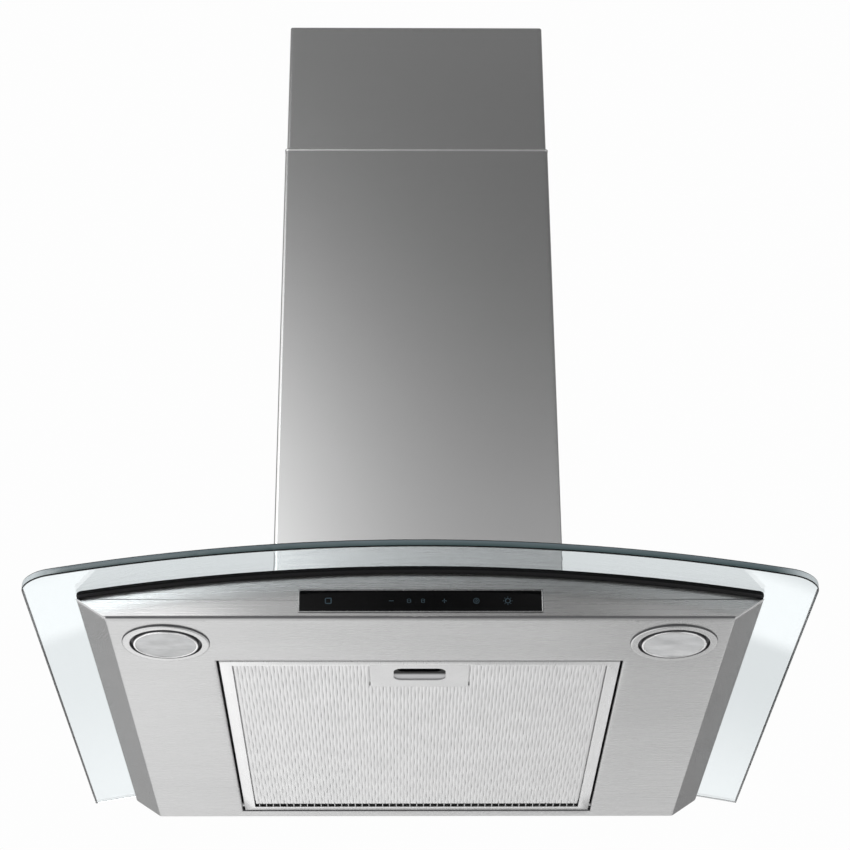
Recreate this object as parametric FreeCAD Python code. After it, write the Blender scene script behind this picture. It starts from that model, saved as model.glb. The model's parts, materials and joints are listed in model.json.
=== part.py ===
"""Wall range hood with an arched glass canopy, a shallow steel body and a telescopic chimney.

Lengths are in millimetres and angles in degrees. While the pieces are made, z = 0 is the flat
underside of the steel body, the wall is the plane y = 0 and the front faces -Y. Every finished
piece is then lowered by wall_fixing_height, which puts the origin on the wall, at the middle of
the four wall fixing holes.
"""
import FreeCAD, Part
import math
import os

from FreeCAD import Vector

# ---- glass canopy: a sheet bent about an axis that runs from the wall to the front ----
glass_width = 600.0
glass_depth = 500.0
glass_thickness = 6.0
glass_corner_radius = 22.0
glass_rise = 28.34               # glass underside, middle above its side edges
crown_height = 40.6              # glass underside above the body underside, at the middle

# ---- steel body ----
tray_side_setback = 61.2         # flat underside, in from the sides of the glass
body_front_setback = 41.5        # fascia, behind the front edge of the glass
side_lean = 56.0                 # of the sloping sides, from the vertical
sheet = 1.0
gasket_thickness = 3.0
gasket_front_overhang = 7.0
gasket_side_inset = 1.0          # in from the top edge of the sloping sides
gasket_width = 14.0
panel_width_margin = 0.4         # top panel, in from the outer slope of the sides

# ---- air intake through the body top and the glass ----
intake_side_margin = 5.0         # in from the sides of the motor box
intake_front_margin = 8.0        # behind the front of the motor box
intake_rear = 20.0
intake_corner_radius = 12.0

# ---- filter opening in the underside ----
opening_side_margin = 78.0       # in from the sides of the flat underside
opening_front_margin = 84.4      # behind the fascia
opening_rear = 14.6              # from the wall
lip_height = 8.0
front_lip_height = 5.0

# ---- grease filter ----
filter_side_gap = 2.0
filter_front_gap = 2.0
filter_rear_gap = 2.6
filter_height = 9.0
filter_bar = 12.0
filter_wall = 1.0
mesh_thickness = 0.8
mesh_columns = 24
mesh_rows = 11
mesh_strand = 2.6
core_layers = 3
core_layer_thickness = 0.4
pivot_radius = 2.0
pivot_clearance = 0.05
pivot_height = 4.5
pivot_from_rear_edge = 6.9       # pivot line, forward of the rear edge of the opening
pivot_pin_length = 9.0
cradle_thickness = 2.0
cradle_width = 14.0

# ---- filter latch ----
latch_plate_width = 79.0
latch_plate_depth = 46.0
latch_plate_from_front = 5.5     # from the front edge of the filter
latch_plate_thickness = 1.0
slot_width = 41.0
slot_depth = 20.0
slot_from_front = 12.4           # slot's front edge, from the front edge of the filter
pocket_wall = 1.2
pocket_margin = 4.5              # pocket, in from the edge of the plate
slider_thickness = 1.5
slider_gap = 0.3
finger_hole_width = 35.0
finger_hole_depth = 10.0
latch_travel = 7.0
tongue_width = 24.0
tongue_thickness = 2.0
tongue_overlap = 5.0             # past the edge of the opening, above the front lip
tongue_gap = 0.3
riser_depth = 4.0
spring_wire = 0.5
spring_radius = 1.7              # of the wire's centre line
spring_turns = 9
spring_inset = 5.0               # springs, in from the sides of the slider

# ---- touch control in the fascia ----
touch_width = 187.0
touch_height = 19.6
touch_bottom = 4.4
touch_rim = 1.4
touch_proud = 0.8
touch_glass_thickness = 2.0
touch_corner_radius = 1.2
touch_board_thickness = 1.6
touch_board_gap = 6.0
touch_board_margin = 8.0

# ---- lamps ----
lamp_side_margin = 41.7          # lamp's middle, in from the side of the flat underside
lamp_front_margin = 47.0         # lamp's middle, behind the fascia
lamp_hole_radius = 30.0
lamp_neck_clearance = 0.3
bezel_radius = 34.0
bezel_depth = 1.6
bezel_bore = 27.9
bezel_round = 0.6
rim_radius = 27.5                # seated in the bezel
rim_nose_radius = 25.2           # of the part that shows, with a groove round it
rim_groove_floor = 1.0           # above the underside
rim_bore = 23.2
rim_depth = 2.6
rim_height = 3.0                 # above the underside, into the can
lens_recess = 0.3
lens_thickness = 1.5
reflector_throat = 9.0
reflector_height = 9.0
reflector_wall = 0.8
lamp_board_radius = 16.0
lamp_board_thickness = 1.2
can_radius = 29.6
can_height = 17.0
can_wall = 0.9

# ---- electrics in the body ----
power_box_width = 50.0
power_box_depth = 140.0
power_box_height = 11.0
driver_width = 42.0
driver_depth = 96.0
driver_height = 10.0
electrics_side_margin = 40.8     # middle, in from the side of the flat underside
electrics_from_wall = 180.0
case_corner_radius = 2.0

# ---- motor box on the glass ----
box_side_gap = 17.8              # box, in from the outside of the lower chimney cover
box_front_gap = 18.0
box_top = 262.0
flange_width = 12.0
seal_thickness = 1.0
lid_thickness = 1.2
lid_corner_radius = 2.6
glass_screw_outset = 6.0         # out from the sides of the motor box
glass_screw_front_margin = 18.0  # behind its front
glass_screw_rear = 40.0          # from the wall
glass_screw_radius = 2.5
glass_screw_clearance = 0.3
glass_screw_head = 4.6
glass_screw_head_height = 2.4
glass_screw_recess_radius = 1.5
glass_screw_recess_floor = 1.0   # above the underside of the head
bush_radius = 4.8
bush_clearance = 0.3
bush_end_gap = 0.1
nut_radius = 4.6
nut_height = 4.0
nut_gap = 0.1                    # a flat nut under a curved panel
wall_fixing_height = 190.0
wall_fixing_width = 180.0
wall_fixing_rise = 120.0
wall_hole_radius = 4.0
guard_thickness = 2.0
guard_height = 50.0
guard_columns = 7
guard_rows = 6
guard_bar = 6.0

# ---- blower ----
blower_height = 150.0            # impeller axis above the underside
blower_from_wall = 98.0
impeller_radius = 68.0
impeller_core = 54.0
impeller_width = 104.0
impeller_rim = 4.0
impeller_ring = 2.0
impeller_disc = 2.0
blade_count = 30
blade_thickness = 1.2
blade_sweep = 13.0
blade_curve = 0.35               # share of the sweep reached half way out
blade_inset = 0.5                # blade ends, inside the rings
volute_radius = 80.0             # first quarter turn of the spiral
volute_step = 8.0                # growth of the spiral, each quarter turn
volute_width = 124.0
volute_wall = 2.0
inlet_radius = 58.0
shaft_radius = 4.0
shaft_clearance = 0.05
shaft_length = 84.0
shaft_end = -14.0                # shaft's left end, from the middle of the wheel
shaft_flat_length = 4.0
shaft_flat_height = 2.8          # above the axis
hub_radius = 10.0
hub_length = 16.0
casing_radius = 40.0
casing_wall = 1.5
casing_start = 12.0              # from the middle of the wheel
casing_length = 52.0
bearing_radius = 8.0
bearing_length = 7.0
rotor_radius = 22.0
rotor_length = 24.0
air_gap = 0.6
stator_length = 26.0
bracket_thickness = 2.0
bracket_ring = 8.0
bracket_arm_width = 12.0
bracket_arms = 3
bracket_reach = 70.0
grommet_radius = 6.0
grommet_height = 6.0
capacitor_radius = 13.0
capacitor_length = 62.0
capacitor_round = 2.0
capacitor_stud_radius = 4.3
capacitor_base = 64.0
capacitor_margin = 20.0          # middle, in from the side and the front of the motor box
terminal_width = 30.0
terminal_depth = 30.0
terminal_height = 44.0
terminal_base = 166.0
terminal_margin = 17.0           # middle, in from the side of the motor box
gland_radius = 9.0
gland_bore = 4.5
gland_flange = 13.0
gland_length = 22.0
gland_flange_thickness = 2.0
gland_nut_thickness = 3.0
gland_from_wall = 24.0
gland_margin = 26.0              # middle, in from the side of the motor box

# ---- outlet collar with two flaps ----
collar_front_margin = 85.0       # middle, behind the front of the motor box
collar_radius = 74.5
collar_wall = 2.0
collar_height = 46.0
collar_plate = 84.0              # half width of the square plate under the collar
collar_plate_front = 82.4        # its front edge, from the collar's middle
collar_base = 1.6                # its thickness
flap_height = 18.0               # hinge line above the lid
flap_gap = 1.5
flap_thickness = 1.5
flap_pin_radius = 1.5
flap_pin_clearance = 0.05
flap_sleeve = 3.0
flap_hinge_offset = 4.0          # each hinge line from the middle of the collar
stop_depth = 3.0
stop_length = 12.0
stop_gap = 0.2

# ---- chimney covers ----
chimney_width = 251.6
chimney_depth = 250.0
chimney_sheet = 0.8
chimney_bend = 2.6
chimney_return = 14.0
lower_cover_top = 582.0
lower_cover_lift = 0.5           # above the glass
upper_cover_gap = 0.7
upper_cover_top = 729.0
upper_cover_length = 400.0
tab_height = 20.0
tab_width = 30.0
tab_base = 62.0
tab_from_wall = 125.0
tab_gap = 0.3
cover_screw_radius = 1.8
cover_screw_head = 4.0
cover_screw_head_height = 1.8
cover_screw_length = 7.0
cover_screw_tool = 10.0          # how far the tool that cuts a screw hole runs each way

# ---- wall bracket for the upper cover ----
bracket_base = 690.0
bracket_height = 22.0
bracket_side_gap = 20.3          # strip's ends, in from the outside of the upper cover
bracket_sheet = 1.5
bracket_forward = 26.0
bracket_ear_gap = 0.5
bracket_hole_spacing = 120.0
bracket_hole_radius = 3.0

# ---- worked out from the sizes above ----
arch_radius = (glass_width / 2) ** 2 / (2 * glass_rise) + glass_rise / 2
arch_centre = crown_height - arch_radius
glass_top_radius = arch_radius + glass_thickness
body_top_radius = arch_radius - gasket_thickness
panel_under_radius = body_top_radius - sheet
seal_top_radius = glass_top_radius + seal_thickness
flange_top_radius = seal_top_radius + sheet
side_tan = math.tan(math.radians(side_lean))
side_cos = math.cos(math.radians(side_lean))
tall = crown_height + 40.0
reach = 40.0                     # how far cutting tools run past what they cut
tray_width = glass_width - 2 * tray_side_setback
body_depth = glass_depth - body_front_setback
opening_width = tray_width - 2 * opening_side_margin
opening_front = body_depth - opening_front_margin
lamp_offset = tray_width / 2 - lamp_side_margin
lamp_from_wall = body_depth - lamp_front_margin
electrics_offset = tray_width / 2 - electrics_side_margin
box_width = chimney_width - 2 * box_side_gap
box_depth = chimney_depth - box_front_gap
intake_width = box_width - 2 * intake_side_margin
intake_front = box_depth - intake_front_margin
glass_screw_offset = box_width / 2 + glass_screw_outset
glass_screw_front = box_depth - glass_screw_front_margin
capacitor_offset = box_width / 2 - capacitor_margin
capacitor_from_wall = box_depth - capacitor_margin
terminal_offset = box_width / 2 - terminal_margin
gland_offset = box_width / 2 - gland_margin
collar_from_wall = box_depth - collar_front_margin
filter_half = opening_width / 2 - filter_side_gap
filter_front = -opening_front + filter_front_gap
filter_rear = -opening_rear - filter_rear_gap
pivot_y = -opening_rear - pivot_from_rear_edge
plate_front = filter_front + latch_plate_from_front
plate_rear = plate_front + latch_plate_depth
pocket_half = latch_plate_width / 2 - pocket_margin
pocket_front = plate_front + pocket_wall
pocket_rear = plate_rear - pocket_margin
slot_front = filter_front + slot_from_front
tongue_low = front_lip_height + tongue_gap
tongue_high = tongue_low + tongue_thickness
blower_axis = Vector(0, -blower_from_wall, blower_height)
lid_top = box_top + lid_thickness
collar_foot = lid_top + collar_base
collar_bore = collar_radius - collar_wall
hinge_height = lid_top + flap_height
chimney_half = chimney_width / 2
upper_half = chimney_half - chimney_sheet - upper_cover_gap
upper_depth = chimney_depth - chimney_sheet - upper_cover_gap
upper_rear = chimney_sheet + upper_cover_gap
bracket_half = upper_half - bracket_side_gap
SIDES = (("left", -1), ("right", 1))


# ---- shared shapes ----
def block(x, y, z):
    """Box between a low and a high value on each axis."""
    return Part.makeBox(x[1] - x[0], y[1] - y[0], z[1] - z[0], Vector(x[0], y[0], z[0]))


def centred(half, y, z):
    return block((-half, half), y, z)


def rod(radius, start, end):
    """Solid cylinder between two points."""
    start, end = Vector(*start), Vector(*end)
    return Part.makeCylinder(radius, (end - start).Length, start, end - start)


def tube(outer, inner, start, end):
    return rod(outer, start, end).cut(rod(inner, start, end))


def upright(radius, x, y, low, high):
    """Solid cylinder that stands along Z."""
    return rod(radius, (x, y, low), (x, y, high))


def polygon_face(points):
    points = [Vector(*point) for point in points]
    return Part.Face(Part.makePolygon(points + points[:1]))


def rounded_plate(half_width, y, z, front_radius, rear_radius):
    """Flat plate with rounded vertical corners; y and z are (low, high)."""
    plate = centred(half_width, y, z)
    for radius, end in ((front_radius, y[0]), (rear_radius, y[1])):
        if radius > 0:
            corners = [e for e in plate.Edges if upright_edge(e) and on_corner(e, half_width, end)]
            plate = plate.makeFillet(radius, corners)
    return plate


def upright_edge(edge):
    low, high = edge.Vertexes[0].Point, edge.Vertexes[-1].Point
    return abs(low.x - high.x) < 1e-6 and abs(low.y - high.y) < 1e-6


def on_corner(edge, half_width, y):
    point = edge.Vertexes[0].Point
    return abs(abs(point.x) - half_width) < 1e-6 and abs(point.y - y) < 1e-6


def arch_solid(radius):
    """Everything below an arch of that radius about the glass's bending axis."""
    return rod(radius, (0, -glass_depth - reach, arch_centre), (0, reach, arch_centre))


def arch_band(low, high, half_width, y):
    """Curved sheet between two arch radii, straight along Y."""
    def edge(radius):
        side = arch_centre + math.sqrt(radius ** 2 - half_width ** 2)
        left = Vector(-half_width, y[0], side)
        right = Vector(half_width, y[0], side)
        top = Vector(0, y[0], arch_centre + radius)
        return left, Part.Arc(left, top, right).toShape(), right
    low_left, low_arc, low_right = edge(low)
    high_left, high_arc, high_right = edge(high)
    outline = Part.Wire([low_arc, Part.makeLine(low_right, high_right), high_arc,
                         Part.makeLine(high_left, low_left)])
    return Part.Face(outline).extrude(Vector(0, y[1] - y[0], 0))


def on_arch(shape, x, y):
    """Carry a shape made at the origin to the glass underside at x, y, square to the glass."""
    shape = shape.copy()
    shape.translate(Vector(0, y, crown_height))
    lean = math.degrees(math.asin(x / arch_radius))
    shape.rotate(Vector(0, 0, arch_centre), Vector(0, 1, 0), lean)
    return shape


def side_half(height, inset=0.0):
    """Half width of the body at a height, inside the sloping sides by inset."""
    return tray_width / 2 + height * side_tan - inset / side_cos


def trapezoid(inset, low, high, y):
    """Prism with the body's sloping sides; y is (low, high)."""
    points = [(-side_half(low, inset), y[0], low), (side_half(low, inset), y[0], low),
              (side_half(high, inset), y[0], high), (-side_half(high, inset), y[0], high)]
    return polygon_face(points).extrude(Vector(0, y[1] - y[0], 0))


def intake_hole():
    return rounded_plate(intake_width / 2, (-intake_front, -intake_rear), (-reach, tall + reach),
                         intake_corner_radius, intake_corner_radius)


def glass_screw_places():
    return [(side * glass_screw_offset, -depth)
            for side in (-1, 1) for depth in (glass_screw_front, glass_screw_rear)]


def glass_screw_holes(radius):
    hole = upright(radius, 0, 0, -reach, reach)
    return Part.makeCompound([on_arch(hole, x, y) for x, y in glass_screw_places()])


def mirrored(shape):
    """The same shape on the other side of the centre line."""
    return shape.mirror(Vector(0, 0, 0), Vector(1, 0, 0))


# ---- glass and body ----
def glass_canopy():
    plan = rounded_plate(glass_width / 2, (-glass_depth, 0), (-reach, tall), glass_corner_radius, 0)
    glass = arch_band(arch_radius, glass_top_radius, glass_width / 2 + 1, (-glass_depth - 1, 1))
    glass = glass.common(plan).cut(intake_hole())
    return glass.cut(glass_screw_holes(bush_radius + bush_clearance))


def glass_gasket():
    outer_half = side_half(side_top_height()) - gasket_side_inset
    front = -body_depth - gasket_front_overhang
    band = arch_band(body_top_radius, arch_radius, outer_half, (front, 0))
    middle = centred(outer_half - gasket_width, (front + gasket_width, -gasket_width), (-reach, tall))
    return band.cut(middle)


def side_top_height():
    """Height where the sloping side meets the arched top of the body."""
    height = 0.0
    for _ in range(40):
        height = arch_centre + math.sqrt(body_top_radius ** 2 - side_half(height) ** 2)
    return height


def filter_opening(margin, low, high):
    return centred(opening_width / 2 + margin,
                   (-opening_front - margin, -opening_rear + margin), (low, high))


def pivot_notch(radius):
    """Slot, open at the top, that a filter pivot pin is laid into."""
    half = opening_width / 2 + reach
    seat = rod(radius, (-half, pivot_y, pivot_height), (half, pivot_y, pivot_height))
    mouth = centred(half, (pivot_y - radius, pivot_y + radius), (pivot_height, pivot_height + reach))
    return seat.fuse(mouth)


def body_tray():
    shell = trapezoid(0, 0, tall, (-body_depth + sheet, 0))
    shell = shell.cut(trapezoid(sheet, sheet, tall + 1, (-body_depth, -sheet)))
    shell = shell.common(arch_solid(panel_under_radius))
    lips = filter_opening(sheet, 0, lip_height)
    front_lip = centred(opening_width, (-body_depth, -opening_front), (front_lip_height, lip_height + 1))
    shell = shell.fuse(lips.cut(front_lip)).cut(filter_opening(0, -1, tall))
    for _, side in SIDES:
        shell = shell.cut(upright(lamp_hole_radius, side * lamp_offset, -lamp_from_wall, -1, reach))
    return shell.cut(pivot_notch(pivot_radius + sheet)).removeSplitter()


def touch_opening(margin, y):
    z = (touch_bottom + touch_rim - margin, touch_bottom + touch_height - touch_rim + margin)
    return centred(touch_width / 2 - touch_rim + margin, y, z)


def front_fascia():
    plate = trapezoid(0, 0, tall, (-body_depth, -body_depth + sheet))
    return plate.common(arch_solid(body_top_radius)).cut(touch_opening(0, (-body_depth - 1, 0)))


def body_top_panel():
    panel = arch_band(panel_under_radius, body_top_radius, side_half(tall), (-body_depth + sheet, 0))
    panel = panel.common(trapezoid(panel_width_margin, 0, tall, (-body_depth + sheet, 0)))
    panel = panel.cut(intake_hole())
    return panel.cut(glass_screw_holes(glass_screw_radius + glass_screw_clearance))


def touch_bezel():
    front = -body_depth - touch_proud
    z = (touch_bottom, touch_bottom + touch_height)
    frame = centred(touch_width / 2, (front, -body_depth), z)
    corners = [e for e in frame.Edges if abs(e.Vertexes[0].Y - e.Vertexes[-1].Y) > touch_proud / 2]
    frame = frame.makeFillet(touch_corner_radius, corners)
    return frame.cut(touch_opening(0, (front - 1, 0)))


def touch_glass():
    front = -body_depth - touch_proud / 2
    return touch_opening(0, (front, front + touch_glass_thickness))


def touch_board():
    rear = -body_depth - touch_proud / 2 + touch_glass_thickness
    low = rear + touch_board_gap
    board = touch_opening(-touch_rim, (low, low + touch_board_thickness))
    pillar = touch_board_gap
    middle = touch_bottom + touch_height / 2
    for place in (-1, 0, 1):
        x = place * (touch_width / 2 - touch_board_margin - pillar)
        board = board.fuse(rod(pillar / 2, (x, rear, middle), (x, rear + pillar, middle)))
    return board


# ---- lamps, made about the Z axis and then carried to their places ----
def lamp_bezel():
    flange = upright(bezel_radius, 0, 0, -bezel_depth, 0)
    rim_edge = [e for e in flange.Edges if abs(e.BoundBox.ZMax + bezel_depth) < 1e-6]
    flange = flange.makeFillet(bezel_round, rim_edge)
    neck = upright(lamp_hole_radius - lamp_neck_clearance, 0, 0, 0, rim_height)
    return flange.fuse(neck).cut(upright(bezel_bore, 0, 0, -reach, reach))


def lamp_rim():
    seat = tube(rim_radius, rim_bore, (0, 0, rim_groove_floor), (0, 0, rim_height))
    nose = tube(rim_nose_radius, rim_bore, (0, 0, -rim_depth), (0, 0, rim_groove_floor))
    return seat.fuse(nose)


def lamp_lens():
    low = -rim_depth + lens_recess
    return upright(rim_bore, 0, 0, low, low + lens_thickness)


def lamp_reflector():
    low = -rim_depth + lens_recess + lens_thickness
    high = low + reflector_height
    wide = rim_bore - reflector_wall
    outer = Part.makeCone(wide, reflector_throat + reflector_wall, high - low, Vector(0, 0, low))
    inner = Part.makeCone(wide - reflector_wall, reflector_throat, high - low, Vector(0, 0, low))
    return outer.cut(inner)


def lamp_board():
    low = -rim_depth + lens_recess + lens_thickness + reflector_height
    return upright(lamp_board_radius, 0, 0, low, low + lamp_board_thickness)


def lamp_can():
    outer = upright(can_radius, 0, 0, rim_height, can_height)
    inner = upright(can_radius - can_wall, 0, 0, rim_height - 1, can_height - can_wall)
    board_top = -rim_depth + lens_recess + lens_thickness + reflector_height + lamp_board_thickness
    boss = tube(lamp_board_radius, reflector_throat, (0, 0, board_top), (0, 0, can_height - can_wall))
    return outer.cut(inner).fuse(boss)


def at_lamp(shape, side):
    shape = shape.copy()
    shape.translate(Vector(side * lamp_offset, -lamp_from_wall, 0))
    return shape


def electrics_case(side, width, depth, height):
    """Closed case that stands on the tray beside the filter."""
    x = side * electrics_offset
    y = -electrics_from_wall
    case = block((x - width / 2, x + width / 2), (y - depth / 2, y + depth / 2), (sheet, sheet + height))
    corners = [e for e in case.Edges if upright_edge(e)]
    return case.makeFillet(case_corner_radius, corners)


# ---- grease filter ----
def filter_frame():
    outer = centred(filter_half, (filter_front, filter_rear), (0, filter_height))
    window = centred(filter_half - filter_bar, (filter_front + filter_bar, filter_rear - filter_bar),
                     (-1, filter_height + 1))
    hollow = centred(filter_half - filter_wall, (filter_front + filter_wall, filter_rear - filter_wall),
                     (filter_wall, filter_height - filter_wall))
    return outer.cut(hollow).cut(window).cut(latch_space()).cut(tongue_window(plate_front + 1))


def latch_space():
    """Room in the filter for the latch plate and its housing."""
    return centred(latch_plate_width / 2, (plate_front, plate_rear), (-1, filter_height + 1))


def tongue_window(rear):
    """Room for the latch tongue from the front of the filter back to rear."""
    return centred(tongue_width / 2 + tongue_gap, (filter_front - 1, rear),
                   (tongue_low - tongue_gap, tongue_high + tongue_gap))


def mesh_sheet(low):
    """One face of the filter mesh: a thin sheet with rows of long pointed holes."""
    half = filter_half - filter_wall
    front = filter_front + filter_wall
    rear = filter_rear - filter_wall
    inner_half = filter_half - filter_bar
    inner_front = plate_rear
    inner_rear = filter_rear - filter_bar
    pitch_x = 2 * inner_half / mesh_columns
    pitch_y = (inner_rear - inner_front) / mesh_rows
    holes = []
    for column in range(mesh_columns):
        shift = pitch_y / 8 * (-1) ** column
        for row in range(mesh_rows):
            x = -inner_half + (column + 0.5) * pitch_x
            y = inner_front + (row + 0.5) * pitch_y + shift
            dx = (pitch_x - mesh_strand) / 2
            dy = pitch_y / 2 - mesh_strand
            holes.append(Part.makePolygon([Vector(x - dx, y, low), Vector(x, y - dy, low),
                                           Vector(x + dx, y, low), Vector(x, y + dy, low),
                                           Vector(x - dx, y, low)]))
    rim = Part.makePolygon([Vector(-half, front, low), Vector(half, front, low), Vector(half, rear, low),
                            Vector(-half, rear, low), Vector(-half, front, low)])
    for hole in holes:
        hole.reverse()
    sheet_solid = Part.Face([rim] + holes).extrude(Vector(0, 0, mesh_thickness))
    return sheet_solid.cut(latch_space()).cut(tongue_window(plate_front + 1))


def filter_mesh():
    """Lower and upper faces of the mesh."""
    lower = mesh_sheet(filter_wall)
    upper = mesh_sheet(filter_height - filter_wall - mesh_thickness)
    return Part.makeCompound([lower, upper])


def filter_core():
    """Thin inner layers of the mesh, evenly spaced between the two faces."""
    low = filter_wall + mesh_thickness
    high = filter_height - filter_wall - mesh_thickness
    pitch = (high - low) / (core_layers + 1)
    half = filter_half - filter_wall
    y = (filter_front + filter_wall, filter_rear - filter_wall)
    layers = []
    for k in range(core_layers):
        middle = low + (k + 1) * pitch
        z = (middle - core_layer_thickness / 2, middle + core_layer_thickness / 2)
        layer = centred(half, y, z)
        layers.append(layer.cut(latch_space()).cut(tongue_window(plate_front + 1)))
    return Part.makeCompound(layers)


def filter_pivot_pins():
    pins = []
    for _, side in SIDES:
        inner = side * filter_half
        pins.append(rod(pivot_radius, (inner, pivot_y, pivot_height),
                        (inner + side * pivot_pin_length, pivot_y, pivot_height)))
    return Part.makeCompound(pins)


def filter_cradles():
    """Two upright plates on the tray, beside the opening, that carry the pivot pins."""
    low_x = opening_width / 2 + sheet
    plates = []
    for _, side in SIDES:
        x = sorted((side * low_x, side * (low_x + cradle_thickness)))
        y = (pivot_y - cradle_width / 2, pivot_y + cradle_width / 2)
        plates.append(block(x, y, (sheet, lip_height)).cut(pivot_notch(pivot_radius + pivot_clearance)))
    return Part.makeCompound(plates)


def stadium(width, depth, front, z):
    """Flat slot shape with round ends, long along X."""
    radius = depth / 2
    y = front + radius
    half = width / 2 - radius
    body = centred(half, (front, front + depth), z)
    for side in (-1, 1):
        body = body.fuse(upright(radius, side * half, y, z[0], z[1]))
    return body


def latch_plate():
    plate = centred(latch_plate_width / 2, (plate_front, plate_rear), (0, latch_plate_thickness))
    return plate.cut(stadium(slot_width, slot_depth, slot_front, (-1, latch_plate_thickness + 1)))


def latch_housing():
    """Cup over the slot, open below, with a window for the tongue."""
    top = filter_height
    low = latch_plate_thickness
    outer = centred(pocket_half, (plate_front, pocket_rear), (low, top))
    inner = centred(pocket_half - pocket_wall, (pocket_front, pocket_rear - pocket_wall),
                    (low - 1, top - pocket_wall))
    return outer.cut(inner).cut(tongue_window(pocket_front + 1))


def slider_half():
    return pocket_half - pocket_wall - slider_gap


def latch_slider():
    low = latch_plate_thickness + slider_gap
    high = low + slider_thickness
    front = slot_front - riser_depth
    rear = pocket_rear - pocket_wall - latch_travel - slider_gap
    plate = centred(slider_half(), (front, rear), (low, high))
    plate = plate.cut(stadium(finger_hole_width, finger_hole_depth, slot_front + slider_gap,
                              (low - 1, high + 1)))
    riser = centred(slider_half(), (front, slot_front), (high, tongue_high))
    tongue = centred(tongue_width / 2, (-opening_front - tongue_overlap, front), (tongue_low, tongue_high))
    return plate.fuse(riser).fuse(tongue).removeSplitter()


def latch_springs():
    """Two compression springs between the slider's riser and the back of the housing."""
    length = pocket_rear - pocket_wall - slot_front
    pitch = (length - spring_wire) / spring_turns
    springs = []
    for _, side in SIDES:
        helix = Part.makeHelix(pitch, length - spring_wire, spring_radius)
        start = Vector(spring_radius, 0, 0)
        section = Part.Wire(Part.makeCircle(spring_wire / 2, start, Vector(0, 1, 0)))
        coil = Part.Wire(helix).makePipeShell([section], True, True)
        coil.rotate(Vector(0, 0, 0), Vector(1, 0, 0), -90)
        x = side * (slider_half() - spring_inset)
        coil.translate(Vector(x, slot_front + spring_wire / 2, tongue_low))
        springs.append(coil)
    return Part.makeCompound(springs)


# ---- motor box and its fixings ----
def box_footprint(margin, y_front, y_rear):
    return centred(box_width / 2 + margin, (y_front, y_rear), (-reach, box_top))


def flange_ring():
    """Plan of the bottom flange: outwards on three sides and inwards along the wall."""
    outer = box_footprint(flange_width, -box_depth - flange_width, -upper_rear)
    outer = outer.fuse(box_footprint(0, -box_depth, 0))
    inner = box_footprint(-sheet, -box_depth + sheet, -flange_width)
    return outer.cut(inner)


def motor_box():
    walls = box_footprint(0, -box_depth, 0).cut(
        centred(box_width / 2 - sheet, (-box_depth + sheet, -sheet), (-reach - 1, box_top + 1)))
    walls = walls.cut(arch_solid(seal_top_radius))
    half = box_width / 2 + flange_width + reach
    flange = arch_band(seal_top_radius, flange_top_radius, half, (-box_depth - reach, 0))
    flange = flange.common(flange_ring())
    flange = flange.cut(glass_screw_holes(glass_screw_radius + glass_screw_clearance))
    box = walls.fuse(flange)
    for _, side in SIDES:
        box = box.fuse(cover_tab(side))
    for x in (-wall_fixing_width / 2, wall_fixing_width / 2):
        for z in (wall_fixing_height - wall_fixing_rise / 2, wall_fixing_height + wall_fixing_rise / 2):
            box = box.cut(rod(wall_hole_radius, (x, -sheet - 1, z), (x, 1, z)))
    return box.removeSplitter()


def tab_face():
    return chimney_half - chimney_sheet - tab_gap


def cover_tab(side):
    """Bent tab that the lower cover is screwed to."""
    z = (tab_base, tab_base + tab_height)
    y = (-tab_from_wall - tab_width / 2, -tab_from_wall + tab_width / 2)
    arm = block(sorted((side * box_width / 2, side * tab_face())), y, (z[0], z[0] + sheet))
    face = block(sorted((side * (tab_face() - 2 * sheet), side * tab_face())), y, z)
    hole = cover_screw_axis(side, cover_screw_radius, -cover_screw_tool, cover_screw_tool)
    return arm.fuse(face).cut(hole)


def cover_screw_axis(side, radius, inner, outer):
    """Cylinder along the cover screw, measured outwards from the cover's outer face."""
    z = tab_base + tab_height / 2 + sheet / 2
    x = side * chimney_half
    return rod(radius, (x + side * inner, -tab_from_wall, z), (x + side * outer, -tab_from_wall, z))


def lower_cover_screws():
    screws = []
    for _, side in SIDES:
        shank = cover_screw_axis(side, cover_screw_radius, -cover_screw_length, 0)
        head = cover_screw_axis(side, cover_screw_head, 0, cover_screw_head_height)
        screws.append(shank.fuse(head))
    return Part.makeCompound(screws)


def motor_box_seal():
    half = box_width / 2 + flange_width + reach
    seal = arch_band(glass_top_radius, seal_top_radius, half, (-box_depth - reach, 0))
    seal = seal.common(flange_ring())
    return seal.cut(glass_screw_holes(glass_screw_radius + glass_screw_clearance))


def glass_screws():
    """Pan-head screws down through the flange, the glass and the body's top panel."""
    head_low = flange_top_radius - arch_radius
    tip = -gasket_thickness - sheet - nut_height
    shank = upright(glass_screw_radius, 0, 0, tip, head_low)
    head = upright(glass_screw_head, 0, 0, head_low, head_low + glass_screw_head_height)
    recess = upright(glass_screw_recess_radius, 0, 0, head_low + glass_screw_recess_floor, reach)
    screw = shank.fuse(head).cut(recess)
    return Part.makeCompound([on_arch(screw, x, y) for x, y in glass_screw_places()])


def glass_bushes():
    """Spacer bushes that line the glass holes and bridge the gap to the top panel."""
    low = -gasket_thickness + bush_end_gap
    high = glass_thickness - bush_end_gap
    bush = tube(bush_radius, glass_screw_radius + glass_screw_clearance, (0, 0, low), (0, 0, high))
    return Part.makeCompound([on_arch(bush, x, y) for x, y in glass_screw_places()])


def glass_nuts():
    high = -gasket_thickness - sheet - nut_gap
    corners = [(nut_radius * math.cos(math.radians(60 * k)), nut_radius * math.sin(math.radians(60 * k)),
                high - nut_height) for k in range(6)]
    nut = polygon_face(corners).extrude(Vector(0, 0, nut_height))
    nut = nut.cut(upright(glass_screw_radius, 0, 0, -reach, reach))
    return Part.makeCompound([on_arch(nut, x, y) for x, y in glass_screw_places()])


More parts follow.
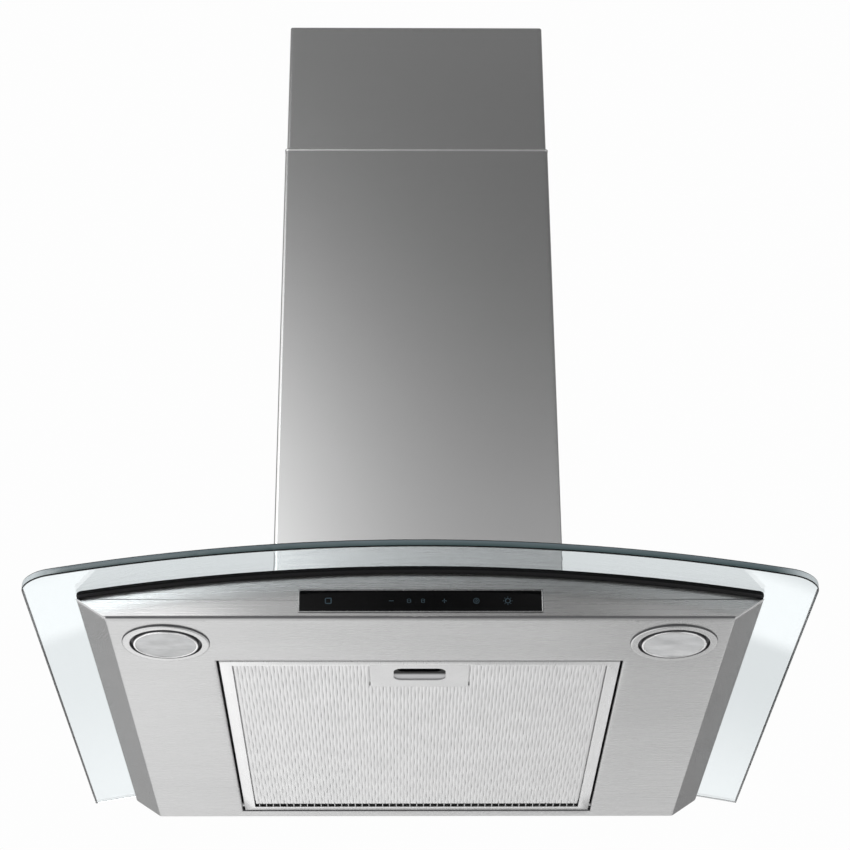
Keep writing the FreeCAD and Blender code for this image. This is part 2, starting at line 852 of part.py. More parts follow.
def motor_box_lid():
    lid = rounded_plate(box_width / 2, (-box_depth, 0), (box_top, lid_top), lid_corner_radius, 0)
    lid = lid.cut(upright(collar_bore, 0, -collar_from_wall, box_top - 1, lid_top + 1))
    return lid.cut(upright(gland_radius, gland_offset, -gland_from_wall, box_top - 1, lid_top + 1))


def inlet_guard():
    """Flat grille across the bottom of the motor box."""
    half = box_width / 2 - sheet
    y = (-box_depth + sheet, -sheet)
    plate = centred(half, y, (guard_height, guard_height + guard_thickness))
    pitch_x = (2 * half - guard_bar) / guard_columns
    pitch_y = (y[1] - y[0] - guard_bar) / guard_rows
    for column in range(guard_columns):
        for row in range(guard_rows):
            x = -half + guard_bar + column * pitch_x
            low = y[0] + guard_bar + row * pitch_y
            plate = plate.cut(block((x, x + pitch_x - guard_bar), (low, low + pitch_y - guard_bar),
                                    (guard_height - 1, guard_height + guard_thickness + 1)))
    return plate


# ---- blower ----
def volute_outline(offset, x):
    """Closed spiral of three quarter turns, open upwards into a straight outlet duct."""
    half_step = volute_step / 2
    r1 = volute_radius
    r2 = r1 + volute_step
    r3 = r2 + volute_step
    top = box_top - blower_height
    c1 = (half_step, -half_step)
    c2 = (-half_step, -half_step)
    c3 = (-half_step, half_step)

    def point(u, v):
        return Vector(x, blower_axis.y + u, blower_axis.z + v)

    def arc(centre, radius, start, end):
        places = [point(centre[0] + radius * math.cos(math.radians(angle)),
                        centre[1] + radius * math.sin(math.radians(angle)))
                  for angle in (start, (start + end) / 2, end)]
        return Part.Arc(*places).toShape()

    tongue_u = c1[0] + offset
    tongue_v = c1[1] + math.sqrt((r1 + offset) ** 2 - offset ** 2)
    tongue_angle = math.degrees(math.acos(offset / (r1 + offset)))
    left_u = c3[0] - r3 - offset
    edges = [Part.makeLine(point(tongue_u, top), point(tongue_u, tongue_v)),
             arc(c1, r1 + offset, tongue_angle, 0),
             arc(c2, r2 + offset, 0, -90),
             arc(c3, r3 + offset, -90, -180),
             Part.makeLine(point(left_u, c3[1]), point(left_u, top)),
             Part.makeLine(point(left_u, top), point(tongue_u, top))]
    return Part.Face(Part.Wire(Part.__sortEdges__(edges)))


def volute_half(side):
    """Half of the spiral casing: rim wall and one side wall with its round inlet."""
    half = volute_width / 2
    rim = volute_outline(volute_wall, 0).extrude(Vector(half, 0, 0))
    rim = rim.cut(volute_outline(0, -1).extrude(Vector(half + 1 - volute_wall, 0, 0)))
    axis_start = (half - volute_wall - 1, blower_axis.y, blower_axis.z)
    axis_end = (half + 1, blower_axis.y, blower_axis.z)
    rim = rim.cut(rod(inlet_radius, axis_start, axis_end))
    return rim if side > 0 else mirrored(rim)


def blower_rod(radius, start, end):
    """Cylinder on the blower's axis, from and to these distances from the wheel's middle."""
    return rod(radius, (start, blower_axis.y, blower_axis.z), (end, blower_axis.y, blower_axis.z))


def blower_tube(outer, inner, start, end):
    return blower_rod(outer, start, end).cut(blower_rod(inner, start - 1, end + 1))


def polar(radius, angle, x):
    angle = math.radians(angle)
    return Vector(x, blower_axis.y + radius * math.cos(angle), blower_axis.z + radius * math.sin(angle))


def blade(angle):
    """Forward-curved blade, as wide as the wheel, between two arcs."""
    half = impeller_width / 2
    inner_r = impeller_core + blade_inset
    outer_r = impeller_radius - blade_inset
    middle_r = (inner_r + outer_r) / 2
    sweep = (0.0, blade_sweep * blade_curve, blade_sweep)
    width = [math.degrees(blade_thickness / radius) for radius in (inner_r, middle_r, outer_r)]
    near = [polar(radius, angle + turn, -half)
            for radius, turn in zip((inner_r, middle_r, outer_r), sweep)]
    far = [polar(radius, angle + turn + wide, -half)
           for radius, turn, wide in zip((inner_r, middle_r, outer_r), sweep, width)]
    outline = Part.Wire([Part.Arc(*near).toShape(), Part.makeLine(near[2], far[2]),
                         Part.Arc(far[2], far[1], far[0]).toShape(), Part.makeLine(far[0], near[0])])
    return Part.Face(outline).extrude(Vector(impeller_width, 0, 0))


def impeller_wheel():
    """Squirrel-cage wheel: a middle disc, two end rings and the blades through them."""
    half = impeller_width / 2
    disc = blower_tube(impeller_radius, hub_radius, -impeller_disc / 2, impeller_disc / 2)
    rings = []
    for _, side in SIDES:
        low, high = sorted((side * half, side * (half - impeller_ring)))
        rings.append(blower_tube(impeller_radius, impeller_radius - impeller_rim, low, high))
    blades = [blade(360.0 * k / blade_count) for k in range(blade_count)]
    return disc.multiFuse(rings + blades)


def impeller_hub():
    return blower_tube(hub_radius, shaft_radius, -hub_length + impeller_disc, impeller_disc)


def motor_shaft():
    shaft = blower_rod(shaft_radius, shaft_end, shaft_end + shaft_length)
    flat = block((shaft_end - 1, shaft_end + shaft_flat_length),
                 (blower_axis.y - reach, blower_axis.y + reach),
                 (blower_axis.z + shaft_flat_height, blower_axis.z + reach))
    return shaft.cut(flat)


def motor_middle():
    return casing_start + casing_length / 2


def motor_rotor():
    start = motor_middle() - rotor_length / 2
    return blower_tube(rotor_radius, shaft_radius, start, start + rotor_length)


def motor_stator():
    start = motor_middle() - stator_length / 2
    return blower_tube(casing_radius - casing_wall, rotor_radius + air_gap, start, start + stator_length)


def motor_bearings():
    places = (casing_start, casing_start + casing_length - bearing_length)
    return Part.makeCompound([blower_tube(bearing_radius, shaft_radius + shaft_clearance, x,
                                          x + bearing_length) for x in places])


def motor_casing():
    end = casing_start + casing_length
    casing = blower_rod(casing_radius, casing_start, end)
    casing = casing.cut(blower_rod(casing_radius - casing_wall, casing_start + casing_wall,
                                   end - casing_wall))
    for low, high in ((casing_start, casing_start + bearing_length), (end - bearing_length, end)):
        casing = casing.fuse(blower_rod(bearing_radius + casing_wall, low, high))
        casing = casing.cut(blower_rod(bearing_radius, low - 1, high + 1))
    return casing


def bracket_start():
    return volute_width / 2 + grommet_height


def motor_bracket():
    """Ring round the motor with arms out to the volute's side wall."""
    low = bracket_start()
    start = casing_start + casing_length
    cup = blower_tube(casing_radius + bracket_ring, bearing_radius + casing_wall * 2, low,
                      low + bracket_thickness)
    neck = blower_tube(casing_radius, casing_radius - bracket_ring / 2, start, low)
    arms = [bracket_arm(360.0 * k / bracket_arms) for k in range(bracket_arms)]
    return cup.multiFuse([neck] + arms)


def bracket_arm(angle):
    low = bracket_start()
    y = (blower_axis.y + casing_radius, blower_axis.y + bracket_reach)
    z = (blower_axis.z - bracket_arm_width / 2, blower_axis.z + bracket_arm_width / 2)
    arm = block((low, low + bracket_thickness), y, z)
    arm.rotate(blower_axis, Vector(1, 0, 0), angle + 90)
    return arm


def motor_grommets():
    """Rubber blocks between the bracket's arms and the volute."""
    radius = bracket_reach - grommet_radius
    blocks = []
    for k in range(bracket_arms):
        place = polar(radius, 360.0 * k / bracket_arms + 90, volute_width / 2)
        blocks.append(rod(grommet_radius, tuple(place), (place.x + grommet_height, place.y, place.z)))
    return Part.makeCompound(blocks)


def run_capacitor():
    low = guard_height + guard_thickness
    can = upright(capacitor_radius, capacitor_offset, -capacitor_from_wall, capacitor_base,
                  capacitor_base + capacitor_length)
    top = [e for e in can.Edges if abs(e.BoundBox.ZMin - capacitor_base - capacitor_length) < 1e-6]
    can = can.makeFillet(capacitor_round, top)
    stud = upright(capacitor_stud_radius, capacitor_offset, -capacitor_from_wall, low, capacitor_base)
    return can.fuse(stud)


def terminal_box():
    x = (terminal_offset - terminal_width / 2, terminal_offset + terminal_width / 2)
    case = block(x, (-sheet - terminal_depth, -sheet), (terminal_base, terminal_base + terminal_height))
    corners = [e for e in case.Edges if upright_edge(e) and e.Vertexes[0].Y < -terminal_depth / 2]
    return case.makeFillet(case_corner_radius, corners)


def cable_gland():
    low = box_top - gland_length / 2
    high = low + gland_length
    x = gland_offset
    y = -gland_from_wall
    body = upright(gland_radius, x, y, low, high)
    flange = upright(gland_flange, x, y, lid_top, lid_top + gland_flange_thickness)
    nut = upright(gland_flange, x, y, box_top - gland_nut_thickness, box_top)
    return body.fuse(flange).fuse(nut).cut(upright(gland_bore, x, y, low - 1, high + 1))


# ---- outlet ----
def collar_flange():
    """Square plate on the lid, under the round collar."""
    y = -collar_from_wall
    plate = block((-collar_plate, collar_plate), (y - collar_plate_front, y + collar_plate),
                  (lid_top, collar_foot))
    return plate.cut(upright(collar_bore, 0, y, lid_top - 1, collar_foot + 1))


def outlet_collar():
    y = -collar_from_wall
    collar = tube(collar_radius, collar_bore, (0, y, collar_foot), (0, y, lid_top + collar_height))
    for side in (-1, 1):
        collar = collar.fuse(flap_stop(side))
        hinge_y = y + side * flap_hinge_offset
        collar = collar.cut(rod(flap_pin_radius, (-collar_radius, hinge_y, hinge_height),
                                (collar_radius, hinge_y, hinge_height)))
    return collar


def flap_stop(side):
    """Small ledge inside the collar that a closed flap rests on."""
    y = -collar_from_wall
    high = hinge_height + flap_gap - stop_gap
    ledge = tube(collar_radius - collar_wall / 2, collar_bore - stop_depth, (0, y, high - stop_depth),
                 (0, y, high))
    depth = sorted((y + side * (collar_bore - stop_length), y + side * collar_radius))
    return ledge.common(block((-stop_length, stop_length), depth, (lid_top, high)))


def flap_pins():
    pins = []
    for side in (-1, 1):
        y = -collar_from_wall + side * flap_hinge_offset
        half = math.sqrt((collar_radius - collar_wall / 4) ** 2 - flap_hinge_offset ** 2)
        pins.append(rod(flap_pin_radius, (-half, y, hinge_height), (half, y, hinge_height)))
    return Part.makeCompound(pins)


def outlet_flap(side):
    """Half-round flap on a sleeve; side is -1 for the front flap and +1 for the rear one."""
    centre_y = -collar_from_wall
    hinge_y = centre_y + side * flap_hinge_offset
    radius = collar_bore - flap_gap
    low = hinge_height + flap_gap
    disc = upright(radius, 0, centre_y, low, low + flap_thickness)
    keep = sorted((hinge_y, hinge_y + side * radius))
    leaf = disc.common(block((-radius, radius), keep, (low, low + flap_thickness)))
    half = math.sqrt(radius ** 2 - flap_hinge_offset ** 2) - flap_gap
    sleeve = rod(flap_sleeve, (-half, hinge_y, hinge_height), (half, hinge_y, hinge_height))
    bore = rod(flap_pin_radius + flap_pin_clearance, (-radius, hinge_y, hinge_height),
               (radius, hinge_y, hinge_height))
    return leaf.fuse(sleeve).cut(bore)


# ---- chimney ----
def folded_cover(half, depth, rear, z):
    """Sheet folded into a U with a return along each rear edge."""
    outer = rounded_plate(half, (-depth, -rear), z, chimney_bend, 0)
    inner = rounded_plate(half - chimney_sheet, (-depth + chimney_sheet, -rear - chimney_sheet),
                          (z[0] - 1, z[1] + 1), chimney_bend - chimney_sheet, 0)
    mouth = centred(half - chimney_return, (-rear - chimney_sheet - 1, 1), (z[0] - 1, z[1] + 1))
    return outer.cut(inner).cut(mouth)


def lower_chimney_cover():
    cover = folded_cover(chimney_half, chimney_depth, 0, (0, lower_cover_top))
    cover = cover.cut(arch_solid(glass_top_radius + lower_cover_lift))
    for _, side in SIDES:
        cover = cover.cut(cover_screw_axis(side, cover_screw_radius, -cover_screw_tool, cover_screw_tool))
    return cover


def upper_chimney_cover():
    z = (upper_cover_top - upper_cover_length, upper_cover_top)
    return folded_cover(upper_half, upper_depth, upper_rear, z)


def chimney_bracket():
    """Strip on the wall whose ends come forward and out to the sides of the upper cover."""
    z = (bracket_base, bracket_base + bracket_height)
    strip = centred(bracket_half, (-bracket_sheet, 0), z)
    for _, side in SIDES:
        arm = sorted((side * (bracket_half - bracket_sheet), side * bracket_half))
        strip = strip.fuse(block(arm, (-bracket_forward, 0), z))
        ear = sorted((side * (bracket_half - bracket_sheet),
                      side * (upper_half - chimney_sheet - bracket_ear_gap)))
        strip = strip.fuse(block(ear, (-bracket_forward - bracket_sheet, -bracket_forward), z))
        x = side * bracket_hole_spacing / 2
        middle = bracket_base + bracket_height / 2
        strip = strip.cut(rod(bracket_hole_radius, (x, -bracket_sheet - 1, middle), (x, 1, middle)))
    return strip.removeSplitter()


def hood():
    """Every piece by name."""
    pieces = {
        "glass_canopy": glass_canopy(),
        "glass_gasket": glass_gasket(),
        "body_tray": body_tray(),
        "front_fascia": front_fascia(),
        "body_top_panel": body_top_panel(),
        "touch_bezel": touch_bezel(),
        "touch_glass": touch_glass(),
        "touch_board": touch_board(),
        "power_box": electrics_case(-1, power_box_width, power_box_depth, power_box_height),
        "lamp_driver": electrics_case(1, driver_width, driver_depth, driver_height),
        "filter_frame": filter_frame(),
        "filter_mesh": filter_mesh(),
        "filter_core": filter_core(),
        "filter_pivot_pins": filter_pivot_pins(),
        "filter_cradles": filter_cradles(),
        "latch_plate": latch_plate(),
        "latch_housing": latch_housing(),
        "latch_slider": latch_slider(),
        "latch_springs": latch_springs(),
        "motor_box": motor_box(),
        "motor_box_seal": motor_box_seal(),
        "motor_box_lid": motor_box_lid(),
        "inlet_guard": inlet_guard(),
        "glass_screws": glass_screws(),
        "glass_bushes": glass_bushes(),
        "glass_nuts": glass_nuts(),
        "impeller_wheel": impeller_wheel(),
        "impeller_hub": impeller_hub(),
        "motor_shaft": motor_shaft(),
        "motor_rotor": motor_rotor(),
        "motor_stator": motor_stator(),
        "motor_bearings": motor_bearings(),
        "motor_casing": motor_casing(),
        "motor_bracket": motor_bracket(),
        "motor_grommets": motor_grommets(),
        "run_capacitor": run_capacitor(),
        "terminal_box": terminal_box(),
        "cable_gland": cable_gland(),
        "collar_flange": collar_flange(),
        "outlet_collar": outlet_collar(),
        "flap_pins": flap_pins(),
        "front_flap": outlet_flap(-1),
        "rear_flap": outlet_flap(1),
        "lower_chimney_cover": lower_chimney_cover(),
        "lower_cover_screws": lower_cover_screws(),
        "upper_chimney_cover": upper_chimney_cover(),
        "chimney_bracket": chimney_bracket(),
    }
    for name, side in SIDES:
        pieces["volute_" + name] = volute_half(side)
        pieces["lamp_bezel_" + name] = at_lamp(lamp_bezel(), side)
        pieces["lamp_rim_" + name] = at_lamp(lamp_rim(), side)
        pieces["lamp_lens_" + name] = at_lamp(lamp_lens(), side)
        pieces["lamp_reflector_" + name] = at_lamp(lamp_reflector(), side)
        pieces["lamp_can_" + name] = at_lamp(lamp_can(), side)
    pieces["lamp_boards"] = Part.makeCompound([at_lamp(lamp_board(), side) for _, side in SIDES])
    return pieces


def main():
    os.makedirs("parts", exist_ok=True)
    for name, shape in hood().items():
        shape.translate(Vector(0, 0, -wall_fixing_height))
        shape.exportStep("parts/" + name + ".step")
        state = "" if shape.isValid() else "  NOT VALID"
        print("%-22s %d solid(s) %10.0f mm3%s" % (name, len(shape.Solids), shape.Volume, state))


main()
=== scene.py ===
"""Looks for the wall range hood with an arched glass canopy.

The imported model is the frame: the wall is the plane y = 0, the front faces -Y and the flat
underside of the steel body lies 190 mm below the origin. Shapes are worked out in millimetres,
with heights from that underside, and piece() turns them into metres in the frame.
"""
import json
import math

import bmesh
import bpy
import numpy as np
from mathutils import Matrix, Vector


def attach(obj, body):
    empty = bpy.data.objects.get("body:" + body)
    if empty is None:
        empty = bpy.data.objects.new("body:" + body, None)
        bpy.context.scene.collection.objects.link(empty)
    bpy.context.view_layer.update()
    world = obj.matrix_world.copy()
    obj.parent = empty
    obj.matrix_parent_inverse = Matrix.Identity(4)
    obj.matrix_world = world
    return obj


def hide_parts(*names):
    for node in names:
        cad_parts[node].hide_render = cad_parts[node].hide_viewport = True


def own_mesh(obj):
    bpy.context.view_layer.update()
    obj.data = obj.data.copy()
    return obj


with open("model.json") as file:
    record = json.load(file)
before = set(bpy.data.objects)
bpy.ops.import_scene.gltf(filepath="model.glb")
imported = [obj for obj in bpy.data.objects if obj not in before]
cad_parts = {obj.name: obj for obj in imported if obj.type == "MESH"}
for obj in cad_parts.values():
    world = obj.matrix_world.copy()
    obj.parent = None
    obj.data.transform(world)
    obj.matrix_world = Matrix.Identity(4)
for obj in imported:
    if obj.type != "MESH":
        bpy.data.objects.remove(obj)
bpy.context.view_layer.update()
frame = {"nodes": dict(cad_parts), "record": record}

# ---- sizes, in millimetres ----
underside_drop = 190.0
glass_half = 300.0
glass_depth = 500.0
glass_thickness = 6.0
glass_corner = 22.0
glass_arris = 0.9
glass_rise = 28.34
arch_radius = glass_half ** 2 / (2 * glass_rise) + glass_rise / 2      # underside of the glass
arch_crown = 40.6
arch_centre = arch_crown - arch_radius
intake_half = 103.0
intake_front = 224.0
intake_rear = 20.0
intake_corner = 12.0
gasket_thickness = 3.0
gasket_half = 261.4
gasket_front = 465.5
gasket_width = 14.0
gasket_round = 0.8
sheet = 1.0
tray_half = 238.8
body_front = 458.5
side_lean = 56.0                 # of the sloping sides, from the upright
side_tan = math.tan(math.radians(side_lean))
body_top = arch_radius - gasket_thickness
side_bend = 2.4                  # outer radius between the underside and a sloping side
opening_half = 160.8
opening_front = 374.1
opening_rear = 14.6
lip_height = 8.0
front_lip_height = 5.0
lip_bend = 1.6
lamp_x = 197.1
lamp_y = -411.5
lamp_hole = 30.0
lamp_cup_height = 9.0
touch_half = 93.5
touch_low = 4.4
touch_high = 24.0
touch_rim = 1.4
touch_proud = 0.8
pane_proud = 0.4
chimney_half = 125.8
chimney_depth = 250.0
chimney_sheet = 0.8
chimney_bend = 2.6
chimney_return = 14.0
cover_gap = 0.7
lower_cover_top = 582.0
upper_cover_low = 329.0
upper_cover_top = 729.0
filter_half = 158.8
filter_front = 372.1
filter_rear = 17.2
filter_height = 9.0
filter_bar = 9.8
front_bar = 8.0
rear_bar = 8.5
filter_wall = 1.0
drain_reach = 6.5                # band of drain slots along the rear bar
drain_pitch = 6.3
drain_web = 0.7
plate_half = 39.5
plate_front = 366.6
plate_rear = 320.6
slot_half = 20.8
slot_half_height = 12.2
slot_middle = -346.7
spring_x = 28.5
spring_front = 359.7
spring_rear = 326.3
spring_height = 5.3
spring_radius = 1.7
spring_wire = 0.5
spring_turns = 9
pivot_y = -21.5                  # the filter's pivot line
pivot_z = 4.5
pivot_notch = 3.0                # radius of the notch in the lip round a pivot pin
tongue_half = 12.3               # window for the latch tongue in the filter's front rail
tongue_low = 5.0
tongue_high = 7.6
strand_pitch = 2.9
strand_width = 2.8
strand_wave = 0.12
strand_period = 31.0
seam = 1.7                       # gap under the fascia; the dark strip that fills it is painted shade


# ---- outlines ----
def at(*numbers):
    """Points from their two or three numbers, each of which may be one number for them all."""
    return np.stack(np.broadcast_arrays(*numbers), -1)


def join(*parts, axis=0):
    """Arrays one after the other."""
    return np.concatenate(parts, axis)


def line(start, end, count):
    """Points from start up to, but without, end."""
    share = np.linspace(0.0, 1.0, count, endpoint=False)[:, None]
    return np.asarray(start, float) * (1 - share) + np.asarray(end, float) * share


def held(start, end, count, hold=0.6):
    """A line with one more point close to each end, where the shading of a bend stops."""
    start, end = np.asarray(start, float), np.asarray(end, float)
    step = (end - start) * hold / np.linalg.norm(end - start)
    return join([start], line(start + step, end - step, count), [end - step])


def arc(centre, radius, start, end, count):
    """Points on a circle between two angles in degrees, both included."""
    angle = np.radians(np.linspace(start, end, count))
    return at(centre[0] + radius * np.cos(angle), centre[1] + radius * np.sin(angle))


def rounded_rectangle(x, y, radii, per_corner=7, per_side=12):
    """Anticlockwise loop: four straight sides, each followed by a quarter circle.

    x and y are (low, high); radii is one for all, or those of the rear right, rear left, front
    left and front right corners. A radius of 0 gives one sharp point.
    """
    radii = np.broadcast_to(radii, 4)
    corners = ((x[1], y[1], -1, -1, 0), (x[0], y[1], 1, -1, 90), (x[0], y[0], 1, 1, 180),
               (x[1], y[0], -1, 1, 270))
    bends = [arc((cx + sx * r, cy + sy * r), r, angle, angle + 90, per_corner if r else 1)
             for (cx, cy, sx, sy, angle), r in zip(corners, radii)]
    sides = [line(bends[k - 1][-1], bends[k][0], per_side)[1:] for k in range(4)]
    return join(*(part for side, bend in zip(sides, bends) for part in (side, bend)))


def mitre(path, closed=True):
    """Outward step at each point of an anticlockwise path: the sum of the unit normals of its two
    edges, stretched so that both edges move out by one."""
    edge = np.roll(path, -1, axis=0) - path
    normal = at(edge[:, 1], -edge[:, 0])
    normal /= np.linalg.norm(normal, axis=1)[:, None]
    if not closed:
        normal[-1] = normal[-2]
    before = np.roll(normal, 1, axis=0)
    if not closed:
        before[0] = normal[0]
    return (normal + before) / (1 + np.sum(normal * before, axis=1))[:, None]


def seen_from(centre, loop, angles):
    """Distance from centre to a loop round it, in each direction, between its own points."""
    away = loop - np.asarray(centre, float)
    own = np.arctan2(away[:, 1], away[:, 0])
    order = np.argsort(own)
    return np.interp(angles, own[order], np.hypot(*away.T)[order], period=2 * np.pi)


def paired(centre, inner, outer, count=240):
    """The inner and outer loop with one point each in the same directions from centre."""
    own = [np.arctan2(*(loop - np.asarray(centre, float)).T[::-1]) for loop in (outer, inner)]
    every = join(*own, np.linspace(-3.1, 3.1, count))
    angles = every[np.unique(np.floor(every / 0.002), return_index=True)[1]]
    ray = at(np.cos(angles), np.sin(angles))
    return [np.asarray(centre, float) + ray * seen_from(centre, loop, angles)[:, None]
            for loop in (inner, outer)]


def rounded(low, high, radius, count=4):
    """Closed section (outwards, upwards) of a bar between two corners, its corners rounded."""
    return rounded_rectangle((low[0], high[0]), (low[1], high[1]), radius, count, 2)


# ---- surfaces ----
def arch(x, radius):
    """Height of an arch of that radius about the glass's bending axis, at x."""
    return arch_centre + np.sqrt(radius ** 2 - x ** 2)


def carried(loop, section):
    """Section carried round a loop: each section point lies its first number outwards from the
    loop point and its second number up."""
    section = np.broadcast_to(section, (len(loop),) + np.shape(section)[-2:])
    flat = loop[:, None, :] + mitre(loop)[:, None, :] * section[:, :, :1]
    return join(flat, section[:, :, 1:], axis=-1)


def turned(section, centre, count=96):
    """Section (radius, height) turned about an upright axis through centre."""
    angle = np.linspace(0, 2 * np.pi, count, endpoint=False)[:, None]
    radius, height = section.T
    return at(centre[0] + radius * np.cos(angle), centre[1] + radius * np.sin(angle), height)


def standing(points, face):
    """Turns a flat-lying shape up so that its underside height points out of the front at face."""
    return at(points[..., 0], -face - points[..., 2], points[..., 1])


def flat_grid(x, y, height):
    """Level grid over the given x and y values."""
    return at(x[:, None], y, height)


def lattice(points, wrap=(False, False), ends=False, finish=0, without=()):
    """Faces between neighbouring points of a grid, or of several alike; ends closes the first and
    the last row, and the (row, column) cells in without are left open."""
    rows, columns = points.shape[-3:-1]
    r, c = np.meshgrid(np.arange(rows - (not wrap[0])), np.arange(columns - (not wrap[1])),
                       indexing="ij")
    r2, c2 = (r + 1) % rows, (c + 1) % columns
    quads = np.stack([r * columns + c, r * columns + c2, r2 * columns + c2, r2 * columns + c], -1)
    solid = np.ones(r.shape, bool)
    for row, column in without:
        solid[row, column] = False
    grids = np.arange(points.size // (rows * columns * 3)) * rows * columns
    quads = (grids[:, None, None] + quads[solid]).reshape(-1, 4)
    rims = np.stack([np.arange(columns), (rows - 1) * columns + np.arange(columns)])
    caps = list((grids[:, None, None] + rims).reshape(-1, columns)) if ends else []
    return points.reshape(-1, 3), quads, caps, finish


def plate(centre, hole, plan, thickness, arris, across=2):
    """Flat plate with one hole, lying from height 0 up: rings from the hole out to the plan, over
    a rounded arris on each face, and back. Returns the points and the rim's columns."""
    inner, outer = paired(centre, hole, plan)
    out = mitre(outer)
    share = np.linspace(0, 1, across)[None, :, None]
    edge = outer - out * arris
    skin = inner[:, None] * (1 - share) + (edge - out * 0.5)[:, None] * share
    skin = join(skin, edge[:, None], axis=1)
    turn = np.radians(np.linspace(0, 90, 5))[1:]
    over = arris * (join(np.sin(turn), np.sin(turn[::-1])) - 1)
    rise = arris * (1 - np.cos(turn))
    rim = outer[:, None] + out[:, None] * over[None, :, None]
    flat = join(skin, rim, skin[:, ::-1], axis=1)
    up = join(np.zeros(across + 1), rise, thickness - rise[::-1], np.full(across + 1, thickness))
    return at(flat[..., 0], flat[..., 1], up), (across, across + 1 + len(over)), out


def slab(loop, low, high, arris):
    """Solid plate: the loop at each height, drawn in over a rounded arris towards high."""
    out = mitre(loop)
    turn = np.radians(np.linspace(0, 90, 4))
    over = at(arris * (np.cos(turn) - 1), high - arris + arris * np.sin(turn))
    steps = join([(0.0, low)], over, [(-2.5 * arris, high)])
    rows = [at(*(loop + out * o).T, h) for o, h in steps]
    return lattice(np.array(rows), (False, True), ends=True)


def placed(name, data):
    """New object in the scene, at the origin."""
    made = bpy.data.objects.new(name, data)
    bpy.context.scene.collection.objects.link(made)
    return made


def piece(name, patches, finishes, body="hood", stands_for=(), crease=32.0):
    """One mesh object from lattices, joined wherever their points meet, facing outwards."""
    first = np.cumsum([0] + [len(patch[0]) for patch in patches])
    points = join(*(patch[0] for patch in patches))
    places, index = np.unique(np.round(points, 4), axis=0, return_inverse=True)
    index = index.reshape(-1)
    quads = index[join(*(patch[1] + start for patch, start in zip(patches, first)))]
    kind = join(*(np.full(len(patch[1]), patch[3]) for patch in patches))
    short = quads == np.roll(quads, -1, axis=1)
    whole, pinched = ~short.any(1), short.sum(1) == 1
    caps = [(index[cap + start].tolist(), patch[3])
            for patch, start in zip(patches, first) for cap in patch[2]]
    polygons = quads[whole].tolist() + quads[pinched][~short[pinched]].reshape(-1, 3).tolist()
    polygons += [cap for cap, _ in caps]
    kinds = join(kind[whole], kind[pinched], np.array([k for _, k in caps], int))
    mesh = bpy.data.meshes.new(name)
    places = (places - (0.0, 0.0, underside_drop)) * 0.001
    mesh.from_pydata(places.tolist(), [], polygons)
    mesh.polygons.foreach_set("material_index", kinds.astype(np.int32))
    shell = bmesh.new()
    shell.from_mesh(mesh)
    bmesh.ops.recalc_face_normals(shell, faces=shell.faces)
    shell.to_mesh(mesh)
    shell.free()
    mesh.shade_smooth()
    mesh.set_sharp_from_angle(angle=math.radians(crease))
    for finish in finishes:
        mesh.materials.append(finish)
    made = placed(name, mesh)
    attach(made, body)
    if stands_for:
        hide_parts(*stands_for)
    return made


# ---- nodes ----
def add(tree, kind, settings=None, **inputs):
    """New node with its settings and inputs; an input is a value or another node's output."""
    made = tree.nodes.new("ShaderNode" + kind)
    for key, value in (settings or {}).items():
        setattr(made, key, value)
    for key, value in inputs.items():
        socket = made.inputs[int(key[1:])] if key[0] == "i" and key[1:].isdigit() else \
            made.inputs[key.replace("_", " ")]
        if isinstance(value, bpy.types.NodeSocket):
            tree.links.new(value, socket)
        else:
            socket.default_value = value
    return made


def here(tree):
    """The place on the piece, in Object coordinates."""
    return add(tree, "TexCoord").outputs["Object"]


def where(tree):
    """The x, y and z of the place on the piece."""
    return add(tree, "SeparateXYZ", Vector=here(tree)).outputs


def math_of(tree, operation, a, b=0.0, c=1.0):
    return add(tree, "Math", {"operation": operation}, i0=a, i1=b, i2=c).outputs[0]


def times(tree, a, b):
    return math_of(tree, "MULTIPLY", a, b)


def plus(tree, a, b):
    return math_of(tree, "ADD", a, b)


def ramp(tree, value, low, high, start, end):
    """Smooth step of a value: start up to low, end from high on."""
    return add(tree, "MapRange", {"interpolation_type": "SMOOTHSTEP"}, Value=value, From_Min=low,
               From_Max=high, To_Min=start, To_Max=end).outputs[0]


def blend_of(tree, share, a, b):
    """Colour a where share is 0, colour b where it is 1."""
    return add(tree, "Mix", {"data_type": "RGBA"}, i0=share, i6=a, i7=b).outputs[2]


def level_of(tree, share, a, b):
    """Number a where share is 0, number b where it is 1."""
    return add(tree, "Mix", i0=share, i2=a, i3=b).outputs[0]


def blank(name, colour, **sockets):
    """Material with one Principled shader; returns the material, its tree and the shader."""
    made = bpy.data.materials.new(name)
    made.use_nodes = True
    shader = made.node_tree.nodes["Principled BSDF"]
    shader.inputs["Base Color"].default_value = (*colour, 1.0)
    for key, value in sockets.items():
        shader.inputs[key.replace("_", " ")].default_value = value
    return made, made.node_tree, shader


def noise(tree, stretch, detail=3.0, roughness=0.5):
    """Noise over Object coordinates, with so many waves to the metre on each axis."""
    mapped = add(tree, "Mapping", Vector=here(tree), Scale=stretch)
    return add(tree, "TexNoise", Vector=mapped.outputs[0], Scale=1.0, Detail=detail,
               Roughness=roughness).outputs[0]


def spread(tree, value, low, high):
    """The middle half of a 0 to 1 value, spread from low to high."""
    return add(tree, "MapRange", Value=value, From_Min=0.3, From_Max=0.7, To_Min=low,
               To_Max=high).outputs[0]


def shaded(tree, colour, value, low, high):
    """Colour made darker and lighter by a value."""
    scale = spread(tree, value, low, high)
    return add(tree, "VectorMath", {"operation": "SCALE"}, Vector=colour, Scale=scale).outputs[0]


def feed(tree, shader, **values):
    """Leads values to the shader's sockets of the same names."""
    for key, value in values.items():
        tree.links.new(value, shader.inputs[key.replace("_", " ")])


